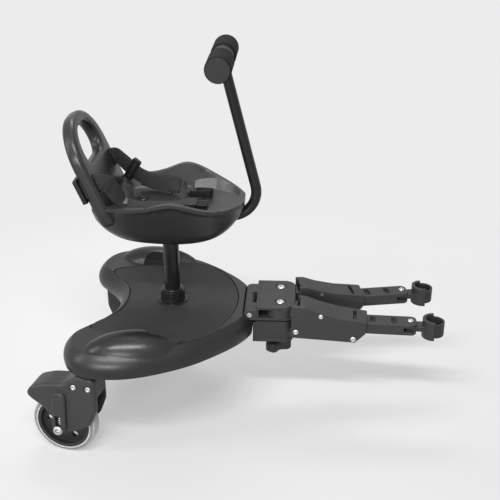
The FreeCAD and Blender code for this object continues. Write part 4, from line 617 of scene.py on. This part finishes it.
# Belt routes through the backrest's slots: places in metres and the way that the width points
BACK_UP = (-0.379, 0.0, 0.925)
FAR_ROUTE = [
    ((-0.2321, 0.0610, 0.3901), BACK_UP),
    ((-0.2173, 0.0610, 0.3962), BACK_UP),
    ((-0.2025, 0.0610, 0.4022), BACK_UP),
    ((-0.1893, 0.0564, 0.3932), (0, 0, 1)),
    ((-0.1761, 0.0517, 0.3826), (0, 0, 1)),
    ((-0.1596, 0.0451, 0.3734), (0, 0, 1)),
    ((-0.1376, 0.0385, 0.3686), (0, 0, 1)),
    ((-0.1156, 0.0320, 0.3681), (0, 0.15, 0.85)),
    ((-0.0980, 0.0273, 0.3642), (0, 0.6, 0.4)),
    ((-0.0881, 0.0254, 0.3593), (0, 1, 0)),
    ((-0.0826, 0.0254, 0.3593), (0, 1, 0)),
]
NEAR_ROUTE = [
    ((-0.2321, -0.0610, 0.3901), BACK_UP),
    ((-0.2173, -0.0610, 0.3962), BACK_UP),
    ((-0.2025, -0.0610, 0.4022), BACK_UP),
    ((-0.1937, -0.0569, 0.3976), (0.3, 0.2, 0.9)),
    ((-0.1882, -0.0522, 0.3888), (0.6, 0.5, 0.6)),
    ((-0.1805, -0.0470, 0.3747), (0.6, 0.75, 0.2)),
    ((-0.1717, -0.0395, 0.3633), (0.35, 0.93, 0)),
    ((-0.1585, -0.0310, 0.3571), (0.1, 1, 0)),
    ((-0.1420, -0.0291, 0.3558), (0, 1, 0)),
    ((-0.1156, -0.0282, 0.3558), (0, 1, 0)),
    ((-0.0903, -0.0273, 0.3576), (0, 1, 0)),
    ((-0.0848, -0.0273, 0.3576), (0, 1, 0)),
]

# The far belt's second layer, past its adjuster, and the loose ends of both belts, whose webbing is painted
# pale as painted light on their flat faces
FAR_RETURN = [
    ((-0.1602, 0.0430, 0.3720), (0, 0, 1)),
    ((-0.1382, 0.0364, 0.3670), (0, 0, 1)),
    ((-0.1162, 0.0299, 0.3666), (0, 0.15, 0.85)),
    ((-0.1030, 0.0266, 0.3650), (0, 0.4, 0.6)),
]
FAR_TAIL = [
    ((-0.0745, 0.0254, 0.3690), (0.12, 0.97, 0.12)),
    ((-0.0660, 0.0258, 0.3708), (0.12, 0.97, 0.2)),
    ((-0.0540, 0.0262, 0.3712), (0.12, 0.97, 0.24)),
    ((-0.0410, 0.0270, 0.3700), (0.14, 0.97, 0.28)),
]
NEAR_TAIL = [
    ((-0.1845, -0.0420, 0.3740), (0.5, 0.8, 0.2)),
    ((-0.1785, -0.0395, 0.3688), (0.4, 0.9, 0.1)),
    ((-0.1700, -0.0365, 0.3640), (0.3, 0.93, 0)),
]
# The far belt's gathers near its buckle: first and last share of the route, height and count
GATHERS = (0.74, 0.93, 0.0013, 4.5)
# Width of the near loose end, which is narrower than its belt
NEAR_TAIL_WIDTH = BELT_WIDTH * 0.7


def belt_piece(name, stops, finish, cup, width=BELT_WIDTH, folds=None):
    """One length of webbing on the seat. Cup: how far its middle rises above its selvedges."""
    mesh = ribbon(name, stops, width, cup, folds)
    return piece(name, mesh, "seat", finish)


def make_belt():
    """Both belts in place of the plain straps, with the far one's second layer and their loose ends."""
    far_belt = belt_piece("far_belt", FAR_ROUTE, belt, cup=0.0006, folds=GATHERS)
    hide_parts("far_strap")
    near_belt = belt_piece("near_belt", NEAR_ROUTE, belt, cup=0.0005)
    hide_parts("near_strap")
    belt_piece("far_belt_layer", FAR_RETURN, belt, cup=0.0005)
    belt_piece("far_belt_tail", FAR_TAIL, tail_webbing_painted_lit, cup=0.0008)
    belt_piece("near_belt_tail", NEAR_TAIL, tail_webbing_painted_lit, cup=0.0008, width=NEAR_TAIL_WIDTH)


# Foam sleeves: half the gap between them, their bore and rounded ends, the depth and pace of their
# dents, and the steps of their mesh round them and along them
FOAM_HALF_GAP = 0.0146
FOAM_BORE = 0.0086
FOAM_ROUND = 0.0035
FOAM_DENT = 0.00025
FOAM_DENT_PACE = 9.0
FOAM_TURN_STEPS = 72
FOAM_LENGTH_STEPS = 16


def foam_profile(radius, outer, side):
    """Outline of a sleeve from its bore round both soft ends: distance from its axis and place along it."""
    inner = FOAM_HALF_GAP
    corners = [math.pi / 2 * i / ROUND_STEPS for i in range(ROUND_STEPS + 1)]
    profile = [(FOAM_BORE, inner)]
    for angle in corners:
        along = inner + FOAM_ROUND * (1 - math.cos(angle))
        profile.append((radius - FOAM_ROUND * (1 - math.sin(angle)), along))
    for i in range(1, FOAM_LENGTH_STEPS):
        share = i / FOAM_LENGTH_STEPS
        dent = FOAM_DENT * math.sin(share * FOAM_DENT_PACE + side)
        along = inner + FOAM_ROUND + share * (outer - inner - 2 * FOAM_ROUND)
        profile.append((radius - abs(dent), along))
    for angle in corners:
        along = outer - FOAM_ROUND * (1 - math.sin(angle))
        profile.append((radius - FOAM_ROUND * (1 - math.cos(angle)), along))
    profile.append((FOAM_BORE, outer))
    return profile


def make_foam():
    """Two foam sleeves with rounded ends, a little uneven as soft foam is, in place of the plain ones."""
    low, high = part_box("foam_grips")
    middle = (low + high) / 2
    radius = (high.x - low.x) / 2
    outer = (high.y - low.y) / 2
    shape = bmesh.new()
    for side in (-1, 1):
        profile = foam_profile(radius, outer, side)
        rings = []
        for turn in range(FOAM_TURN_STEPS):
            angle = 2 * math.pi * turn / FOAM_TURN_STEPS
            ring = []
            for reach, along in profile:
                place = middle + Vector((reach * math.cos(angle), side * along, reach * math.sin(angle)))
                ring.append(shape.verts.new(place))
            rings.append(ring)
        join_rings(shape, rings, rings[1:] + rings[:1])
    mesh = closed_mesh("grip_foam_sleeves", shape)
    sleeves = piece("grip_foam_sleeves", mesh, "seat", grip_foam)
    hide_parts("foam_grips")


def separate_solids(node_name):
    """Corner places of each separate solid of a CAD node, found by following its edges."""
    shape = welded(node_name)
    for corner in shape.verts:
        corner.tag = False
    solids = []
    for start in shape.verts:
        if start.tag:
            continue
        start.tag = True
        waiting = [start]
        solid = []
        while waiting:
            corner = waiting.pop()
            solid.append(corner.co.copy())
            for edge in corner.link_edges:
                other = edge.other_vert(corner)
                if not other.tag:
                    other.tag = True
                    waiting.append(other)
        solids.append(solid)
    shape.free()
    return solids


def grouped(values, apart=0.0002):
    """Sorted values in groups that lie apart from each other, each given as its middle and its members."""
    groups = []
    for value in sorted(values):
        if groups and value[0] - groups[-1][-1][0] < apart:
            groups[-1].append(value)
        else:
            groups.append([value])
    return [(sum(value[0] for value in group) / len(group), group) for group in groups]


def stretches_of(solid, axis):
    """Centre of a turned fastener, and each stretch of it along its axis: start, end and radius."""
    centre = sum(solid, Vector()) / len(solid)
    places = []
    for place in solid:
        along = (place - centre).dot(axis)
        places.append((along, (place - centre - axis * along).length))
    levels = []
    for along, members in grouped(places):
        radii = [radius for radius, _ in grouped([(reach,) for _, reach in members])]
        levels.append((along, radii))
    stretches = []
    for (low, low_radii), (high, high_radii) in zip(levels, levels[1:]):
        # The radius that both ends of the stretch have in common
        radius = min((abs(a - b), a) for a in low_radii for b in high_radii)[1]
        stretches.append((low, high, radius))
    return centre, stretches


def turned(shape, centre, axis, profile, steps=48):
    """Adds a turned solid from rings, each a radius, a place along the axis and whether it is six-sided."""
    side = axis.orthogonal().normalized()
    other = axis.cross(side)
    rings = []
    for radius, along, six_sided in profile:
        ring = []
        for step in range(steps):
            angle = 2 * math.pi * step / steps
            reach = radius
            if six_sided:
                reach *= math.cos(math.pi / 6) / math.cos(angle % (math.pi / 3) - math.pi / 6)
            turn = side * math.cos(angle) + other * math.sin(angle)
            ring.append(shape.verts.new(centre + axis * along + turn * reach))
        rings.append(ring)
    join_rings(shape, rings, rings[1:])
    shape.faces.new(rings[0])
    shape.faces.new(list(reversed(rings[-1])))


# A fastener's head in shares of its radius and height: the side's rings up from below, the flat on
# its dome, and the driving recess's rings down from its top
HEAD_SIDE = ((0.96, 0.0), (1.0, 0.06), (1.0, 0.3))
HEAD_FLAT = 0.6
HEAD_RECESS = ((0.54, 0.02), (0.5, 0.1), (0.47, 0.8))

# Bevel on a fastener's ends, its largest share of their radius, and how much wider a head is at least
FASTENER_BEVEL = 0.0004
BEVEL_SHARE = 0.2
HEAD_STEP = 0.0001


def domed_head(low, high, radius):
    """Rings of a round head with a six-sided driving recess, from its underside out."""
    height = high - low
    rim = low + HEAD_SIDE[-1][1] * height
    rings = [(radius * reach, low + rise * height, False) for reach, rise in HEAD_SIDE]
    for k in range(1, ROUND_STEPS + 1):
        angle = math.pi / 2 * k / ROUND_STEPS
        reach = radius * (HEAD_FLAT + (1 - HEAD_FLAT) * math.cos(angle))
        rings.append((reach, rim + (high - rim) * math.sin(angle), False))
    rings += [(radius * reach, high - drop * height, True) for reach, drop in HEAD_RECESS]
    return rings


def fasten(node_name, body, axis, finish=zinc):
    """Fasteners with domed heads, driving recesses and six-sided nuts, in place of the plain turned ones."""
    shape = bmesh.new()
    for solid in separate_solids(node_name):
        way = axis
        centre, stretches = stretches_of(solid, way)
        # The head comes last: the wider end, or on a bolt with a nut the end farther from the middle plane
        head_first = stretches[0][2] > stretches[-1][2] + HEAD_STEP
        both_ends = len(stretches) > 2
        first_end = abs((centre + way * stretches[0][0]).y)
        last_end = abs((centre + way * stretches[-1][1]).y)
        if head_first and not both_ends or both_ends and first_end > last_end:
            way = -axis
            centre, stretches = stretches_of(solid, way)
        profile = []
        for low, high, radius in stretches[:-1]:
            nut = both_ends and low == stretches[0][0]
            bevel = min(FASTENER_BEVEL, BEVEL_SHARE * radius)
            profile.append((radius - bevel, low, nut))
            profile.append((radius, low + bevel, nut))
            profile.append((radius, high - (bevel if nut else 0.0), nut))
            if nut:
                profile.append((radius - bevel, high, nut))
        profile += domed_head(*stretches[-1])
        turned(shape, centre, way, profile)
    name = node_name + "_dressed"
    made = piece(name, closed_mesh(name, shape), body, finish)
    keep_sharp(made, SHARP_EDGE)
    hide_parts(node_name)


def make_fasteners():
    """The fasteners of the coupler, the seat, the arms and the casters, with the way each axis points."""
    fasten("arm_bolts", "coupler", UPWARD)
    fasten("seat_screws", "seat", UPWARD, dark_steel)
    for side in ("near", "far"):
        fasten("connector_pin_" + side, "bar_" + side, UPWARD)
        fasten("arm_screws_" + side, "arm_" + side, level_across(ARM_TURNS[side]))
        fasten("lever_pin_" + side, "arm_" + side, level_across(ARM_TURNS[side]))
        fasten("fork_screws_" + side, "caster_" + side, level_across(CASTER_TURNS[side]))
        fasten("axle_bolt_" + side, "axle_" + side, level_across(CASTER_TURNS[side]))


def make_springs():
    """Coils in place of the rigid ones, each riding on its caster."""
    for side in ("near", "far"):
        node_name = "fork_springs_" + side
        mesh = bpy.data.meshes.new(node_name + "_coils")
        shape = welded(node_name)
        shape.to_mesh(mesh)
        shape.free()
        coils = piece(mesh.name, mesh, "caster_" + side, spring_steel)
        keep_sharp(coils, SHARP_COIL_EDGE)
        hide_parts(node_name)
        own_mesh(coils)


# Tone of the floor and the backdrop as they are seen, and the sky that lights the object
PALE = 0.84
SKY_TONE = 0.92
SKY_STRENGTH = 0.14

# Floor: its tone for light that it sends on, and its seen paint's tones at two places along Y,
# where much and where little lamp light falls
FLOOR_REACH = 30.0
SENT_TONE = PALE * 0.65
MUCH_LIGHT_Y = -0.21
LITTLE_LIGHT_Y = 0.59
MUCH_LIGHT_TONE = PALE * 0.69
LITTLE_LIGHT_TONE = PALE * 1.06

# Distances from the middle over which the shadows fade out, and the share of even glow before that
SHADOW_START = 0.35
SHADOW_END = 0.95
GLOW_SHARE = 0.4

# Softboxes: place, width and height in metres, and power in watts
LAMPS = {
    "overhead": ((-0.1, -0.1, 2.0), 1.5, 0.3, 3.0),
    "front": ((-0.15, -1.45, 2.0), 1.5, 0.16, 50.0),
    "rear": ((-0.1, 1.15, 2.1), 1.3, 0.5, 18.0),
    "left": ((-1.7, -0.7, 1.1), 0.3, 1.2, 12.0),
    "fill": ((-0.5, -2.1, 0.8), 1.0, 0.4, 30.0),
}
LAMP_TARGET = Vector((0.0, 0.0, 0.25))


def seen_rays(tree):
    """1 for rays that come from the camera, a glossy surface or through glass, and 0 for others."""
    path = tree.nodes.new("ShaderNodeLightPath")
    seen = path.outputs["Is Camera Ray"]
    for kind in ("Is Glossy Ray", "Is Transmission Ray"):
        either = tree.nodes.new("ShaderNodeMath")
        either.operation = "MAXIMUM"
        tree.links.new(seen, either.inputs[0])
        tree.links.new(path.outputs[kind], either.inputs[1])
        seen = either.outputs["Value"]
    return seen


def mixed(tree, share, first, second):
    """Mix of two shaders, where the share is the second one's."""
    mix = tree.nodes.new("ShaderNodeMixShader")
    tree.links.new(share, mix.inputs["Fac"])
    tree.links.new(first, mix.inputs[1])
    tree.links.new(second, mix.inputs[2])
    return mix.outputs["Shader"]


def make_floor():
    """Plain pale floor that keeps the object's shadow near it, and is paler where less light falls."""
    mesh = bpy.data.meshes.new("floor")
    reach = FLOOR_REACH
    corners = [(-reach, -reach, 0), (reach, -reach, 0), (reach, reach, 0), (-reach, reach, 0)]
    mesh.from_pydata(corners, [], [(0, 1, 2, 3)])
    floor = bpy.data.objects.new("floor", mesh)
    scene.collection.objects.link(floor)
    paint = Finish("floor_paint")
    parts = paint.node("ShaderNodeSeparateXYZ")
    paint.feed(parts.inputs["Vector"], paint.place)
    matt = paint.node("ShaderNodeBsdfDiffuse")
    tone = paint.span(parts.outputs["Y"], MUCH_LIGHT_TONE, LITTLE_LIGHT_TONE, MUCH_LIGHT_Y, LITTLE_LIGHT_Y)
    paint.feed(matt.inputs["Color"], tone)
    glow = paint.node("ShaderNodeEmission")
    glow.inputs["Color"].default_value = grey(PALE)
    distance = paint.node("ShaderNodeVectorMath", operation="LENGTH")
    paint.feed(distance.inputs[0], paint.place)
    share = paint.span(distance.outputs["Value"], GLOW_SHARE, 1.0, SHADOW_START, SHADOW_END)
    even = mixed(paint.tree, share, matt.outputs["BSDF"], glow.outputs["Emission"])
    sent = paint.node("ShaderNodeBsdfDiffuse")
    sent.inputs["Color"].default_value = grey(SENT_TONE)
    either = mixed(paint.tree, seen_rays(paint.tree), sent.outputs["BSDF"], even)
    paint.feed(paint.tree.nodes["Material Output"].inputs["Surface"], either)
    paint.tree.nodes.remove(paint.shader)
    mesh.materials.append(paint.material)


def make_light():
    """Studio: a dim even sky, a pale backdrop that is seen in its place, and the softboxes."""
    world = bpy.data.worlds.new("studio")
    scene.world = world
    world.use_nodes = True
    tree = world.node_tree
    sky = tree.nodes["Background"]
    sky.inputs["Color"].default_value = grey(SKY_TONE)
    sky.inputs["Strength"].default_value = SKY_STRENGTH
    backdrop = tree.nodes.new("ShaderNodeBackground")
    backdrop.inputs["Color"].default_value = grey(PALE)
    either = mixed(tree, seen_rays(tree), sky.outputs["Background"], backdrop.outputs["Background"])
    tree.links.new(either, tree.nodes["World Output"].inputs["Surface"])
    for name, (place, width, height, power) in LAMPS.items():
        softbox(name, place, width, height, power)


def softbox(name, place, width, height, power):
    """Rectangular lamp that faces the lamps' common target."""
    panel = bpy.data.lights.new(name, "AREA")
    panel.shape = "RECTANGLE"
    panel.size = width
    panel.size_y = height
    panel.energy = power
    lamp = bpy.data.objects.new(name, panel)
    lamp.location = place
    aim = LAMP_TARGET - Vector(place)
    lamp.rotation_mode = "QUATERNION"
    lamp.rotation_quaternion = aim.to_track_quat("-Z", "Y")
    scene.collection.objects.link(lamp)


make_camera()
for node_name, node in nodes.items():
    dress(node_name, node)
make_belt()
make_foam()
make_fasteners()
make_springs()
make_floor()
make_light()
